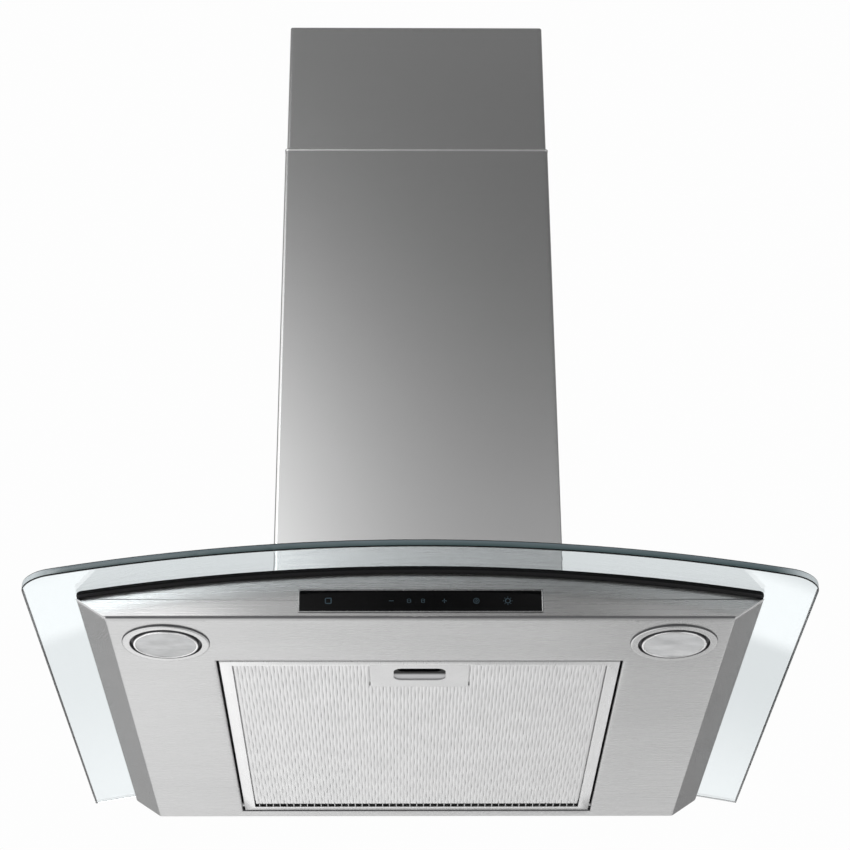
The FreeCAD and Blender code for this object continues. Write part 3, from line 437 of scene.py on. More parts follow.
def raised(tree, shader, height, distance):
    """Bump of that height, in metres from the lowest to the highest value."""
    bump = add(tree, "Bump", Height=height, Distance=distance, Strength=1.0)
    feed(tree, shader, Normal=bump.outputs[0])


# ---- finishes ----
def brushed(name, colour, roughness, grain, clouds, contrast=0.05, depth=0.00002, swing=0.05):
    """Brushed sheet metal: long fine scratches along the grain, and faint cloudy bands."""
    made, tree, shader = blank(name, colour, Metallic=1.0)
    scratch = noise(tree, grain, 4.0, 0.65)
    cloud = times(tree, noise(tree, clouds, 2.0), 0.4)
    both = math_of(tree, "MULTIPLY_ADD", scratch, 0.6, cloud)
    feed(tree, shader, Base_Color=shaded(tree, colour, both, 1 - contrast, 1 + contrast),
         Roughness=spread(tree, scratch, roughness - swing, roughness + swing))
    raised(tree, shader, scratch, depth)
    return made


def satin(name, colour, roughness, metallic=1.0, waves=900.0, contrast=0.04, depth=0.00001,
          **more):
    """Plain surface with an even fine texture: moulded, plated, cast or turned."""
    made, tree, shader = blank(name, colour, Metallic=metallic, **more)
    fine = noise(tree, (waves,) * 3, 4.0, 0.6)
    broad = noise(tree, (waves / 30,) * 3, 2.0)
    feed(tree, shader, Base_Color=shaded(tree, colour, broad, 1 - contrast, 1 + contrast),
         Roughness=spread(tree, fine, roughness - 0.04, roughness + 0.06))
    raised(tree, shader, fine, depth)
    return made


def painted_bright_ends(made, left, right):
    """Paints a finish brighter towards the left and the right end of the body: painted reflection.
    """
    tree = made.node_tree
    socket = tree.nodes["Principled BSDF"].inputs["Base Color"]
    x = where(tree)[0]
    scale = times(tree, ramp(tree, x, -0.1, -0.245, 1.0, left),
                  ramp(tree, x, 0.1, 0.25, 1.0, right))
    # The colour scaled up towards the ends is a painted reflection of a bright room.
    paler = add(tree, "VectorMath", {"operation": "SCALE"}, Vector=socket.links[0].from_socket,
                Scale=scale)
    tree.links.new(paler.outputs[0], socket)


def shaded_depth(name, low, high, near, far):
    """Plain sheet that lies in shade in front of near and comes into the light behind far."""
    made, tree, shader = blank(name, high[:3], Metallic=0.3, Specular_IOR_Level=0.2)
    share = ramp(tree, where(tree)[1], near, far, 0.0, 1.0)
    feed(tree, shader, Base_Color=blend_of(tree, share, low, high),
         Roughness=spread(tree, noise(tree, (600.0,) * 3), 0.4, 0.5))
    return made


def spangled(name, colour):
    """Zinc-plated sheet: flat crystals of slightly different greys."""
    made, tree, shader = blank(name, colour, Metallic=0.9)
    cell = add(tree, "TexVoronoi", Vector=here(tree), Scale=160.0)
    value = add(tree, "SeparateColor", Color=cell.outputs["Color"]).outputs[0]
    feed(tree, shader, Base_Color=shaded(tree, colour, value, 0.88, 1.1),
         Roughness=spread(tree, value, 0.36, 0.5))
    raised(tree, shader, noise(tree, (500.0,) * 3), 0.00001)
    return made


def clear_sheet(name, colour):
    """Float glass, with the faintest smear in its polish."""
    made, tree, shader = blank(name, colour, Transmission_Weight=1.0, IOR=1.5)
    smear = noise(tree, (9.0, 14.0, 9.0), 2.0)
    feed(tree, shader, Roughness=spread(tree, smear, 0.0, 0.02))
    return made


def ground_edge(name, low, high, pale):
    """Polished edge of the glass in the sheet's own tint, with painted shade and light: deepest
    along the underside, paling to the top and round the corners."""
    made, tree, shader = blank(name, low[:3], Specular_IOR_Level=0.35)
    place = where(tree)
    flat = math_of(tree, "SUBTRACT", (arch_radius / 1000) ** 2, times(tree, place[0], place[0]))
    rise = math_of(tree, "SUBTRACT", place[2], math_of(tree, "SQRT", flat))
    base = (arch_centre - underside_drop) / 1000
    share = ramp(tree, rise, base, base + glass_thickness / 1000, 0.0, 1.0)
    grain = noise(tree, (12.0, 12.0, 60.0), 3.0)
    band = spread(tree, grain, -0.12, 0.12)
    tint = blend_of(tree, plus(tree, share, band), low, high)
    # Paling round the corners, by x: painted light.
    corner = ramp(tree, math_of(tree, "ABSOLUTE", place[0]), 0.262, 0.299, 0.0, 1.0)
    feed(tree, shader, Base_Color=blend_of(tree, corner, tint, pale),
         Roughness=spread(tree, grain, 0.06, 0.12))
    return made


def frosted_lens(name, colour):
    """Moulded lens with a fine pattern of small pillows on its inside."""
    made, tree, shader = blank(name, colour, Transmission_Weight=0.35, IOR=1.5)
    cell = add(tree, "TexVoronoi", Vector=here(tree), Scale=420.0)
    # The broad cloudy lightening and darkening of the colour is painted highlight, for the lens's
    # mottled highlights.
    broad = noise(tree, (55.0, 110.0, 55.0), 2.0)
    feed(tree, shader, Base_Color=shaded(tree, colour, broad, 0.8, 1.04),
         Roughness=spread(tree, noise(tree, (300.0,) * 3), 0.1, 0.2))
    raised(tree, shader, cell.outputs["Distance"], 0.0001)
    return made


def circuit(name, colour):
    """Lacquered board with paler copper tracks under the lacquer."""
    made, tree, shader = blank(name, colour, Coat_Weight=0.4)
    mapped = add(tree, "Mapping", Vector=here(tree), Scale=(260.0, 180.0, 180.0))
    brick = add(tree, "TexBrick", Vector=mapped.outputs[0], Color1=(*colour, 1.0),
                Color2=(*colour, 1.0), Mortar=(0.12, 0.3, 0.16, 1.0), Mortar_Size=0.06, Scale=1.0)
    feed(tree, shader, Base_Color=brick.outputs["Color"],
         Roughness=spread(tree, noise(tree, (400.0,) * 3), 0.3, 0.45))
    return made


finishes = {
    "clear_glass": clear_sheet("clear glass", (0.83, 0.88, 0.895)),
    "black_rubber": satin("black gasket", (0.004, 0.004, 0.0045), 0.4, 0.0,
                          Specular_IOR_Level=0.12),
    "brushed_steel": brushed("brushed body steel", (0.62, 0.62, 0.62), 0.25,
                             (16.0, 1500.0, 1500.0), (5.0, 30.0, 30.0)),
    "chimney_steel": brushed("brushed chimney steel", (0.6, 0.6, 0.6), 0.2,
                             (8.0, 8.0, 1100.0), (4.0, 4.0, 30.0), 0.01, 0.0000002, 0.006),
    "galvanised_steel": spangled("zinc sheet", (0.55, 0.57, 0.58)),
    "silver_trim": satin("polished trim", (0.8, 0.8, 0.8), 0.18),
    "black_glass": satin("black touch glass", (0.001, 0.001, 0.0012), 0.07, 0.0, 200.0, 0.1,
                         0.000001, Specular_IOR_Level=0.12),
    "circuit_board": circuit("circuit board", (0.03, 0.2, 0.09)),
    "black_plastic": satin("black moulding", (0.03, 0.03, 0.032), 0.45, 0.0),
    "white_plastic": satin("white moulding", (0.78, 0.78, 0.76), 0.4, 0.0),
    "grey_plastic": satin("grey moulding", (0.22, 0.23, 0.24), 0.42, 0.0),
    "filter_aluminium": brushed("filter frame aluminium", (0.97, 0.97, 0.97), 0.3,
                                (900.0, 40.0, 900.0), (20.0, 20.0, 20.0)),
    "filter_mesh": satin("filter foil", (0.93, 0.93, 0.93), 0.36, 1.0, 1400.0, 0.04),
    "latch_metal": satin("latch aluminium", (0.84, 0.84, 0.84), 0.3),
    "bright_steel": satin("plated steel", (0.7, 0.7, 0.7), 0.2),
    "brass": satin("turned brass", (0.68, 0.5, 0.22), 0.25),
    "motor_iron": satin("motor iron", (0.12, 0.12, 0.125), 0.5, 0.7, 500.0),
    "lamp_trim": satin("turned lamp ring", (0.7, 0.7, 0.7), 0.24),
    "lamp_lens": frosted_lens("lamp lens", (0.95, 0.96, 0.97)),
    "reflector": satin("bright reflector", (0.85, 0.85, 0.85), 0.12),
}
glass_edge = ground_edge("glass edge", (0.035, 0.062, 0.064, 1.0), (0.12, 0.15, 0.165, 1.0),
                         (0.56, 0.61, 0.63, 1.0))
# The fascia is the body's own steel with its colour darkened to about half: painted shade.
fascia_painted_shade_steel = brushed("brushed front steel with painted shade", (0.34, 0.34, 0.34), 0.29, (16.0, 1500.0, 1500.0),
                       (5.0, 30.0, 30.0), 0.03)
# The fascia's brighter ends are a painted reflection.
painted_bright_ends(fascia_painted_shade_steel, 1.9, 1.9)
rim_steel = satin("polished rim", (0.3, 0.3, 0.3), 0.22)
# Dark steel for painted shade inside the tray's rear lip.
shadow_steel = satin("painted shade steel", (0.06, 0.06, 0.065), 0.45, 0.6)
bright_ring = satin("bright lamp ring", (0.95, 0.95, 0.95), 0.2)
# Dark grey for painted shade: the lamp flanks and grooves and the gap under the fascia.
ring_shade = satin("painted shade ring", (0.13, 0.13, 0.135), 0.5, 0.5)
# Paler grey for the gasket's flat faces: painted light.
painted_light_rubber = satin("painted light gasket", (0.018, 0.018, 0.019), 0.6, 0.0, Specular_IOR_Level=0.2)
shaded_latch = shaded_depth("shaded latch", (0.004, 0.004, 0.004, 1.0), (0.66, 0.66, 0.67, 1.0),
                            -0.347, -0.3415)
printed_sign = satin("printed sign", (0.032, 0.05, 0.062), 0.5, 0.0, Specular_IOR_Level=0.1)

for part in frame["record"]["subparts"]:
    mesh = frame["nodes"][part["node"]].data
    mesh.materials.clear()
    mesh.materials.append(shaded_latch if part["node"] == "latch_slider"
                          else finishes[part["material_slot"]])


# ---- glass and gasket ----
def glass_canopy():
    """Flat plate with rounded front corners and the intake hole, laid on the arch."""
    hole = rounded_rectangle((-intake_half, intake_half), (-intake_front, -intake_rear),
                             intake_corner)
    plan = rounded_rectangle((-glass_half, glass_half), (-glass_depth, 0),
                             (0, 0, glass_corner, glass_corner), 17, 40)
    points, (first, last), out = plate((0, -(intake_front + intake_rear) / 2), hole, plan,
                                       glass_thickness, glass_arris, 25)
    low = arch(points[..., 0], arch_radius)
    high = arch(points[..., 0], arch_radius + glass_thickness)
    points[..., 2] = low + (high - low) * points[..., 2] / glass_thickness
    bore = join(points[:, -1:], points[:, :1], axis=1)
    # Edge faces other than the rear ones, and the intake's bore, get the glass edge finish with
    # its painted shade and light.
    shown = np.zeros((len(out), last - first), int)
    shown[out[:, 1] < 0.2, 4:-4] = 1
    patches = [lattice(points[:, :first + 1], (True, False)),
               lattice(points[:, first:last + 1], (True, False), finish=shown.ravel()),
               lattice(points[:, last:], (True, False)),
               lattice(bore, (True, False), finish=1)]
    piece("canopy", patches, [finishes["clear_glass"], glass_edge], stands_for=["glass_canopy"])


def gasket():
    """Rubber strip with rounded edges, carried round the body's outline and laid on its arch."""
    plan = rounded_rectangle((-gasket_half, gasket_half), (-gasket_front, 0), (0, 0, 4, 4), 5, 90)
    section = rounded((-gasket_width, 0.0), (0.0, gasket_thickness), gasket_round)
    strip = carried(plan, section)
    strip[..., 2] += arch(strip[..., 0], body_top)
    # The strip's flat top and underside get a paler grey than its upright faces: painted light.
    shade = np.zeros(strip.shape[:2], int)
    shade[:, np.abs(np.diff(np.append(section[:, 0], section[0, 0]))) > gasket_width / 4] = 1
    piece("gasket", [lattice(strip, (True, True), finish=shade.ravel())],
          [finishes["black_rubber"], painted_light_rubber], stands_for=["glass_gasket"])


# ---- chimney ----
def folded(half, depth, rear, bend):
    """Middle line of a sheet folded into a U, with a return along each rear edge."""
    h = half - chimney_sheet / 2
    back, front = -rear - chimney_sheet / 2, -depth + chimney_sheet / 2
    r = bend - chimney_sheet / 2
    return join(
        line((-half + chimney_return, back), (-h + 1, back), 3),
        arc((-h + 1, back - 1), 1, 90, 180, 4),
        held((-h, back - 1), (-h, front + r), 5)[1:], arc((-h + r, front + r), r, 180, 270, 9),
        held((-h + r, front), (h - r, front), 9)[1:], arc((h - r, front + r), r, 270, 360, 9),
        held((h, front + r), (h, back - 1), 5)[1:], arc((h - 1, back - 1), 1, 0, 90, 4),
        line((h - 1, back), (half - chimney_return, back), 3)[1:],
        [(half - chimney_return, back)])


def cover(name, path, low, top, bead, body):
    """Folded sheet raised from low, one height for each point of its outline, to top. Its edges
    are rounded, and bead swells the outside just under the top. The first four rows round the
    lower edge, the fifth holds the shading level above the arch and the rest end the sheet."""
    out = mitre(path, closed=False)
    wall = chimney_sheet / 2
    steps = np.array([0.0, 0.15, 0.4, 0.8, 0.0, 2.7, 2.2, 1.9, 1.5, 0.9, 0.4, 0.15, 0.0])
    outer = wall * np.array([0.5, 0.85, 1, 1, 1, 1, 1, 1, 1, 1, 1, 0.85, 0.5])
    inner = outer.copy()
    outer[7:12] += bead * np.array([0.5, 0.9, 1.0, 0.8, 0.4])
    rows = []
    for k, (step, o, i) in enumerate(zip(steps, outer, inner)):
        ring = join(path + out * o, (path - out * i)[::-1])
        if k < 4:
            height = low(ring[:, 0]) + step
        elif k == 4:
            height = low(0.0) + 40.0
        else:
            height = top - step
        rows.append(at(*ring.T, height))
    piece(name, [lattice(np.array(rows), (False, True), ends=True)], [finishes["chimney_steel"]],
          body=body, stands_for=[name.replace("_sheet", "_cover")])


def chimney():
    seat = arch_radius + glass_thickness
    cover("lower_chimney_sheet", folded(chimney_half, chimney_depth, 0, chimney_bend),
          lambda x: arch(x, seat) + 0.5, lower_cover_top, 0.35, "hood")
    inside = chimney_sheet + cover_gap
    cover("upper_chimney_sheet",
          folded(chimney_half - inside, chimney_depth - inside, inside, chimney_bend),
          lambda x: upper_cover_low + 0 * x, upper_cover_top, 0.0, "upper_cover")


# ---- steel body ----
def side_top(radius):
    """Height where the outer face of a sloping side meets an arch."""
    height = 0.0
    for _ in range(40):
        height = float(arch(tray_half + height * side_tan, radius))
    return height


def cross_section(inner_x):
    """Outside of the tray from the top of the left side to the top of the right, with the inward
    step at each point: straight, round a bend, along inner_x, and the same again."""
    lean = np.radians(90 - side_lean)
    angle = np.linspace(lean, 0, 6)
    flat = inner_x[-1]
    bend = at(flat + side_bend * np.sin(angle), side_bend * (1 - np.cos(angle)))
    top = side_top(body_top - sheet)
    slope = held((tray_half + top * side_tan, top), bend[0], 4)
    right = join(slope, bend)
    inward = join(at(-np.sin(lean) + 0 * slope[:, 0], np.cos(lean)),
                  at(-np.sin(angle), np.cos(angle)))
    middle = at(inner_x[1:-1], 0.0)
    up = at(0 * inner_x[1:-1], 1.0)
    flip = np.array([-1.0, 1.0])
    return (join(right * flip, middle, right[::-1]), join(inward * flip, up, inward[::-1]),
            len(right))


def tray():
    """One pressed sheet: flat panels round the filter opening, a ring of cells round each lamp
    hole, lips turned up round the opening, bent sloping sides and a rear wall."""
    edge = opening_half + lip_bend
    front, rear = -opening_front - lip_bend, -opening_rear + lip_bend
    flat_edge = tray_half - side_bend * math.tan(np.radians((90 - side_lean) / 2))
    steps = np.array([0.4, 0.8, 0.999, 1.03])
    notch = pivot_y + pivot_notch * join(-steps[::-1], [0], steps)
    lip_x = np.linspace(-opening_half, opening_half, 25)
    lip_y = join(np.linspace(-opening_front, -30.0, 40), notch, [-opening_rear])
    middle_x = join([-edge], lip_x[1:-1], [edge])
    middle_y = join([front], lip_y[1:-1], [rear])
    side_x = np.linspace(edge, flat_edge, 23)
    front_y = np.linspace(-body_front + sheet + 0.8, front, 25)
    rear_y = np.array([rear, -sheet])
    every_x = join(-side_x[::-1], middle_x[1:-1], side_x)
    every_y = join(front_y, middle_y[1:], rear_y[1:])
    outline, inward, side = cross_section(every_x)
    patches = []

    def skins(x, y):
        patches.extend(lattice(flat_grid(x, y, height)) for height in (0.0, sheet))

    skins(middle_x, front_y)
    skins(every_x, rear_y)
    for sign in (-1, 1):
        skins(sign * side_x, middle_y)
        panel = join(at(side_x[:-1], front_y[0]), at(flat_edge, front_y[:-1]),
                     at(side_x[:0:-1], front), at(edge, front_y[:0:-1]))
        away = panel - (lamp_x, lamp_y)
        hole = (lamp_x, lamp_y) + away * (lamp_hole / np.linalg.norm(away, axis=1))[:, None]
        share = np.linspace(0, 1, 5)[None, :, None]
        ring = (hole[:, None] * (1 - share) + panel[:, None] * share) * (sign, 1)
        levels = [at(ring[..., 0], ring[..., 1], h) for h in (0.0, sheet)]
        patches.extend(lattice(level, (True, False)) for level in levels)
        patches.append(lattice(np.stack([levels[0][:, 0], levels[1][:, 0]], 1), (True, False)))

    def swept(columns, rows):
        """The outline's columns at each (y, depth into the sheet)."""
        y, depth = np.array(rows).T
        flat = outline[None, columns] + inward[None, columns] * depth[:, None, None]
        return at(flat[..., 0], y[:, None], flat[..., 1])

    whole = slice(None)
    nose = -body_front + sheet
    patches.append(lattice(swept(whole, [(front_y[0], 0.0), (nose + 0.25, 0.25), (nose, 0.8),
                                         (nose, sheet), (front_y[0], sheet)])))
    patches.append(lattice(swept(whole, [(-sheet, 0.0), (-sheet, sheet)])))
    for columns, end in ((slice(0, side), 0), (slice(-side, None), len(outline) - 1)):
        for depth in (0.0, sheet):
            patches.append(lattice(swept(columns, [(y, depth) for y in every_y])))
        edges = [swept(slice(end, end + 1), [(y, depth) for y in every_y])
                 for depth in (0.0, sheet)]
        patches.append(lattice(join(*edges, axis=1)))
        nib = swept(slice(end, end + 1), [(nose, 0.8), (nose + 0.25, 0.25), (front_y[0], 0.0),
                                          (front_y[0], sheet), (nose, sheet)])
        patches.append((nib.reshape(-1, 3), np.empty((0, 4), int), [np.arange(5)], 0))

    loop = join(at(lip_x[:-1], -opening_front), at(opening_half, lip_y[:-1]),
                at(lip_x[:0:-1], -opening_rear), at(-opening_half, lip_y[:0:-1]))
    top = np.where(loop[:, 1] < -opening_front + 0.01, front_lip_height, lip_height)
    away = np.abs(loop[:, 1] - pivot_y)
    in_notch = (away < pivot_notch) & (np.abs(loop[:, 0]) > opening_half - 0.01)
    dip = pivot_z - np.sqrt(np.maximum(pivot_notch ** 2 - away ** 2, 0))
    top = np.where(in_notch, np.maximum(dip, lip_bend + 0.5), top)[:, None]
    turn = np.radians(np.linspace(0, 90, 6))
    out = join(lip_bend * (1 - np.sin(turn)), [0.0, 0.2, 0.8, 1.0],
               sheet + (lip_bend - sheet) * (1 - np.cos(turn)))
    level = np.zeros((len(loop), 1))
    up = join(level + lip_bend * (1 - np.cos(turn)), top - 0.2, top, top, top - 0.2,
              level + sheet + (lip_bend - sheet) * (1 - np.sin(turn)), axis=1)
    section = at(out, up)
    # The lip's faces along the rear of the opening, from the bend up, get the dark steel: painted
    # shade.
    behind = loop[:, 1] > -opening_rear - 0.01
    dark = np.zeros((len(loop), section.shape[1] - 1), int)
    dark[behind & np.roll(behind, -1), 2:] = 1
    patches.append(lattice(carried(loop, section), (True, False), finish=dark.ravel()))
    wall_x = outline[:, 0]
    crown = np.linspace(wall_x[-1], wall_x[0], 41)[1:-1]
    back = join(outline, at(crown, arch(crown, body_top - sheet)))
    rear_wall = slab(back, 0.0, sheet, 0.3)
    patches.append((standing(rear_wall[0], 0.0) * (1, -1, 1) - (0, sheet, 0),) + rear_wall[1:])
    piece("tray", patches, [finishes["brushed_steel"], shadow_steel], stands_for=["body_tray"])


def fascia():
    """Upright plate under the arch, with sloping ends and the touch strip's opening."""
    top = side_top(body_top)
    end = tray_half + top * side_tan
    across = np.linspace(end, -end, 91)
    foot = tray_half + seam * side_tan
    plan = join(line((-foot, seam), (foot, seam), 60), line((foot, seam), (end, top), 12),
                at(across, arch(across, body_top)), line((-end, top), (-foot, seam), 12)[1:])
    hole = rounded_rectangle((-touch_half + touch_rim, touch_half - touch_rim),
                             (touch_low + touch_rim, touch_high - touch_rim), 0, 1, 40)
    points, _, _ = plate((0, (touch_low + touch_high) / 2), hole, plan, sheet, 0.45, 3)
    piece("fascia", [lattice(standing(points, body_front - sheet), (True, True))],
          [fascia_painted_shade_steel], stands_for=["front_fascia"])
    # A dark strip fills the gap between the fascia and the tray: painted shade for the shadow in
    # the gap.
    strip = rounded_rectangle((-tray_half, tray_half), (0.3, seam + 1), 0.2, 3)
    joint = slab(strip, 0.0, sheet - 0.4, 0.06)
    piece("fascia_joint", [(standing(joint[0], body_front - sheet),) + joint[1:]],
          [ring_shade])


def touch_strip():
    """Thin bright rim round a strip of black glass."""
    frame_loop = rounded_rectangle((-touch_half, touch_half), (touch_low, touch_high), 1.2)
    rim = carried(frame_loop, rounded((-touch_rim, 0.0), (0.0, touch_proud), 0.3))
    piece("touch_rim", [lattice(standing(rim, body_front), (True, True))],
          [rim_steel], stands_for=["touch_bezel"])
    inside = rounded_rectangle((-touch_half + touch_rim, touch_half - touch_rim),
                               (touch_low + touch_rim, touch_high - touch_rim), 0.6, 4)
    pane = slab(inside, -1.6, pane_proud, 0.15)
    piece("touch_pane", [(standing(pane[0], body_front),) + pane[1:]], [finishes["black_glass"]],
          stands_for=["touch_glass"])


def ring_of(loop, width):
    """Flat band that runs round a loop, just outside it."""
    return carried(loop, rounded((0.0, 0.0), (width, 0.05), 0.01, 2))


def bar(middle, half):
    """Outline of a small bar; its corners stay short of meeting, so that no side is a point."""
    return rounded_rectangle((middle[0] - half[0], middle[0] + half[0]),
                             (middle[1] - half[1], middle[1] + half[1]),
                             min(0.2, 0.8 * min(half)), 3, 4)


def touch_signs():
    """Printed signs: a square for power, minus and plus about a two-figure display, a round fan
    sign and a lamp sign with rays. Lengths run to the right and up from the strip's middle."""
    power, fan, light = -70.3, 42.3, 66.3
    bands = [ring_of(bar((power, 0), (1.7, 1.7)), 0.9),
             ring_of(arc((fan, 0), 1.9, 0, 345, 24), 0.5),
             ring_of(arc((light, 0), 1.5, 0, 345, 24), 0.7)]
    rays = arc((light, 0), 3.1, 0, 315, 8)
    blades = arc((fan, 0), 0.9, 0, 270, 4)
    bars = [((-22.4, 0), (1.8, 0.3)), ((18.0, 0), (1.8, 0.3)), ((18.0, 0), (0.3, 1.8))]
    bars += [((x, 0), (0.25, 1.5)) for x in (-10.2, -7.6, 0.6, 2.8)]
    bars += [((x, z), (0.9, 0.2)) for x in (-8.9, 1.7) for z in (-1.5, 0, 1.5)]
    bars += [(place, (0.35, 0.35)) for place in rays] + [(place, (0.45, 0.45)) for place in blades]
    up = (touch_low + touch_high) / 2
    face = body_front + pane_proud
    patches = []
    for band in bands:
        band[..., 1] += up
        patches.append(lattice(standing(band, face), (True, True)))
    for middle, half in bars:
        flat = slab(bar((middle[0], middle[1] + up), half), -0.05, 0.05, 0.02)
        patches.append((standing(flat[0], face),) + flat[1:])
    piece("touch_signs", patches, [printed_sign])


# ---- lamps ----
def lamp(side, sign):
    """Turned rings, lens and reflector about the lamp's axis."""
    centre = (sign * lamp_x, lamp_y)
    flange = np.array([(34.0, 0.0), (34.0, -0.5), (33.8, -1.0), (33.4, -1.4), (32.8, -1.6),
                       (32.3, -1.6), (28.9, -1.6), (28.4, -1.6), (28.05, -1.5), (27.9, -1.2),
                       (27.9, 3.0), (29.7, 3.0), (29.7, 0.0)])
    rim = np.array([(27.5, 1.0), (25.2, 1.0), (25.2, -2.0), (25.0, -2.4), (24.5, -2.6),
                    (23.8, -2.6), (23.4, -2.45), (23.2, -2.1), (23.2, 3.0), (27.5, 3.0)])
    lens = np.array([(0.0, -3.1), (4.0, -3.08), (8.0, -3.0), (12.0, -2.87), (16.0, -2.7),
                     (20.0, -2.47), (23.2, -2.2), (23.2, -0.8), (12.0, -0.8), (0.0, -0.8)])
    depth = np.linspace(0, 1, 9)
    wide = 9.0 + 12.6 * (1 - depth ** 1.6)
    up = lamp_cup_height * depth - 0.7
    cup = join(at(wide, up), at(wide[::-1] + 0.6, up[::-1]))      # inside, then outside
    # The flange's outer flank and its faces at the groove get the dark finish: painted shade.
    flank = np.zeros((96, len(flange)), int)
    flank[:, [0, 1, 8, 9, 10, 11, 12]] = 1
    piece("lamp_flange_" + side,
          [lattice(turned(flange, centre), (True, True), finish=flank.ravel())],
          [finishes["lamp_trim"], ring_shade], stands_for=["lamp_bezel_" + side])
    groove = np.zeros((96, len(rim)), int)
    # The rim's faces towards the groove and its bore get the dark finish: painted shade.
    groove[:, [0, 1, 8, 9]] = 1
    piece("lamp_ring_" + side, [lattice(turned(rim, centre), (True, True), finish=groove.ravel())],
          [bright_ring, ring_shade], stands_for=["lamp_rim_" + side])
    piece("lamp_glass_" + side, [lattice(turned(lens, centre), (True, False))],
          [finishes["lamp_lens"]], stands_for=["lamp_lens_" + side])
    piece("lamp_cup_" + side, [lattice(turned(cup, centre, 48), (True, True))],
          [finishes["reflector"]], stands_for=["lamp_reflector_" + side],
          crease=5.0)


# ---- grease filter ----
def filter_rails():
    """Channel open inwards, carried round the filter with mitred corners; its front rail is
    narrower over the latch plate and has a window for the latch tongue."""
    gap = 0.001
    front_x = np.array([-filter_half, -100, -60, -plate_half - gap, -plate_half, -20, -tongue_half,
                        tongue_half, 20, plate_half, plate_half + gap, 60, 100])
    corners = [(filter_half, -filter_front), (filter_half, -filter_rear),
               (-filter_half, -filter_rear), (-filter_half, -filter_front)]
    sides = [line(start, end, 8) for start, end in zip(corners, corners[1:])]
    loop = join(at(front_x, -filter_front), *sides)
    narrow = (loop[:, 1] < -filter_front + 1) & (np.abs(loop[:, 0]) <= plate_half)
    w = np.where(narrow, filter_front - plate_front, filter_bar)
    h, t, r = filter_height, filter_wall, 0.7
    low, high = tongue_low, tongue_high
    section = np.stack([at(a + 0 * w, b) for a, b in (
        (0, r), (0, low), (0, high), (0, h - r), (-0.2, h - 0.2), (-r, h), (-w + 0.2, h),
        (-w, h - 0.2), (-w, h - t), (-t, h - t), (-t, high), (-t, low), (-t, t), (-w, t),
        (-w, 0.2), (-w + 0.2, 0), (-r, 0), (-0.2, 0.2))], 1)
    rails = carried(loop, section)
    inner = section[..., 0] < -rear_bar / 2
    front = (np.abs(loop[:, 1] + filter_front) < 0.01) & ~narrow
    rear = np.abs(loop[:, 1] + filter_rear) < 0.01
    rails[..., 1] -= np.where(inner & front[:, None], filter_bar - front_bar, 0)
    rails[..., 1] += np.where(inner & rear[:, None], filter_bar - rear_bar, 0)
    row = 6
    window = rails[row:row + 2]
    ring = np.stack([window[:, [1, 2]].reshape(4, 3)[[0, 1, 3, 2]],
                     window[:, [11, 10]].reshape(4, 3)[[0, 1, 3, 2]]])
    piece("filter_rails", [lattice(rails, (True, True), without=[(row, 1), (row, 10)]),
                           lattice(ring, (False, True))],
          [finishes["filter_aluminium"]], body="grease_filter", stands_for=["filter_frame"])


def strands(inner, pitch, wave, period, width, low, high, step):
    """Strands that run front to back side by side: each one's middle swings as a sine, its
    neighbours' nearly the other way, so that they touch and part. Four-sided section."""
    count = int(2 * inner / pitch)
    x = (np.arange(count) - (count - 1) / 2) * pitch
    short = np.abs(x) < plate_half + width / 2
    start = np.where(short, -plate_rear, -filter_front + front_bar - 0.5)
    end = -filter_rear - rear_bar - drain_reach
    share = np.linspace(0, 1, int((end - start.min()) / step))
    y = start[:, None] * (1 - share) + end * share
    turn = np.pi * np.arange(count) + 1.3 * np.sin(0.71 * np.arange(count))
    swing = wave * np.sin(2 * np.pi * y / period + turn[:, None])
    across = np.array([-width / 2, -width / 7, width / 7, width / 2])
    height = np.array([high, low, low, high])
    points = at(x[:, None, None] + swing[..., None] + across, y[..., None], height)
    return lattice(points, (False, True), ends=True)


def filter_faces():
    inner = filter_half - filter_bar
    piece("filter_strands", [strands(inner - 1.0, strand_pitch, strand_wave, strand_period,
                                     strand_width, 1.1, 1.3, 4.0),
                             strands(inner + 1.2, 2 * strand_pitch, 2 * strand_wave,
                                     2 * strand_period, 5.0, 8.0, 7.2, 8.0)],
          [finishes["filter_mesh"]], body="grease_filter", stands_for=["filter_mesh"],
          crease=60.0)


def filter_drain():
    """Row of small webs between the mesh and the rear bar, and a black strip above the slots that
    they leave open: painted shade for the dark inside of the rear channel."""
    half = filter_half - filter_bar
    rear = -filter_rear - rear_bar
    count = int(2 * half / drain_pitch)
    middles = (np.arange(count) - (count - 1) / 2) * drain_pitch
    section = rounded((-drain_web / 2, 0.6), (drain_web / 2, 1.6), 0.2, 2)
    y = np.array([rear - drain_reach - 0.5, rear + 0.5])
    webs = at(middles[:, None, None] + section[:, 0], y[:, None], section[:, 1])
    piece("filter_webs", [lattice(webs, (False, True), ends=True)], [finishes["filter_aluminium"]],
          body="grease_filter")
    # Black strip over the rear slots: painted shade.
    shade_strip = rounded_rectangle((-half - 2, half + 2), (rear - drain_reach - 4, rear + 3), 1.5, 3)
    piece("filter_shade_strip", [slab(shade_strip, 2.2, 2.8, 0.2)], [finishes["black_plastic"]],
          body="grease_filter")


def latch_cover():
    """Plate with a slot whose corners are round, its edges eased."""
    slot = rounded_rectangle(
        (-slot_half, slot_half),
        (slot_middle - slot_half_height, slot_middle + slot_half_height), 6.5, 9, 10)
    plan = rounded_rectangle((-plate_half, plate_half), (-plate_front, -plate_rear), 1.0, 4)
    points, _, _ = plate((0, slot_middle), slot, plan, sheet, 0.25, 3)
    piece("latch_cover", [lattice(points, (True, True))], [finishes["latch_metal"]],
          body="grease_filter", stands_for=["latch_plate"])


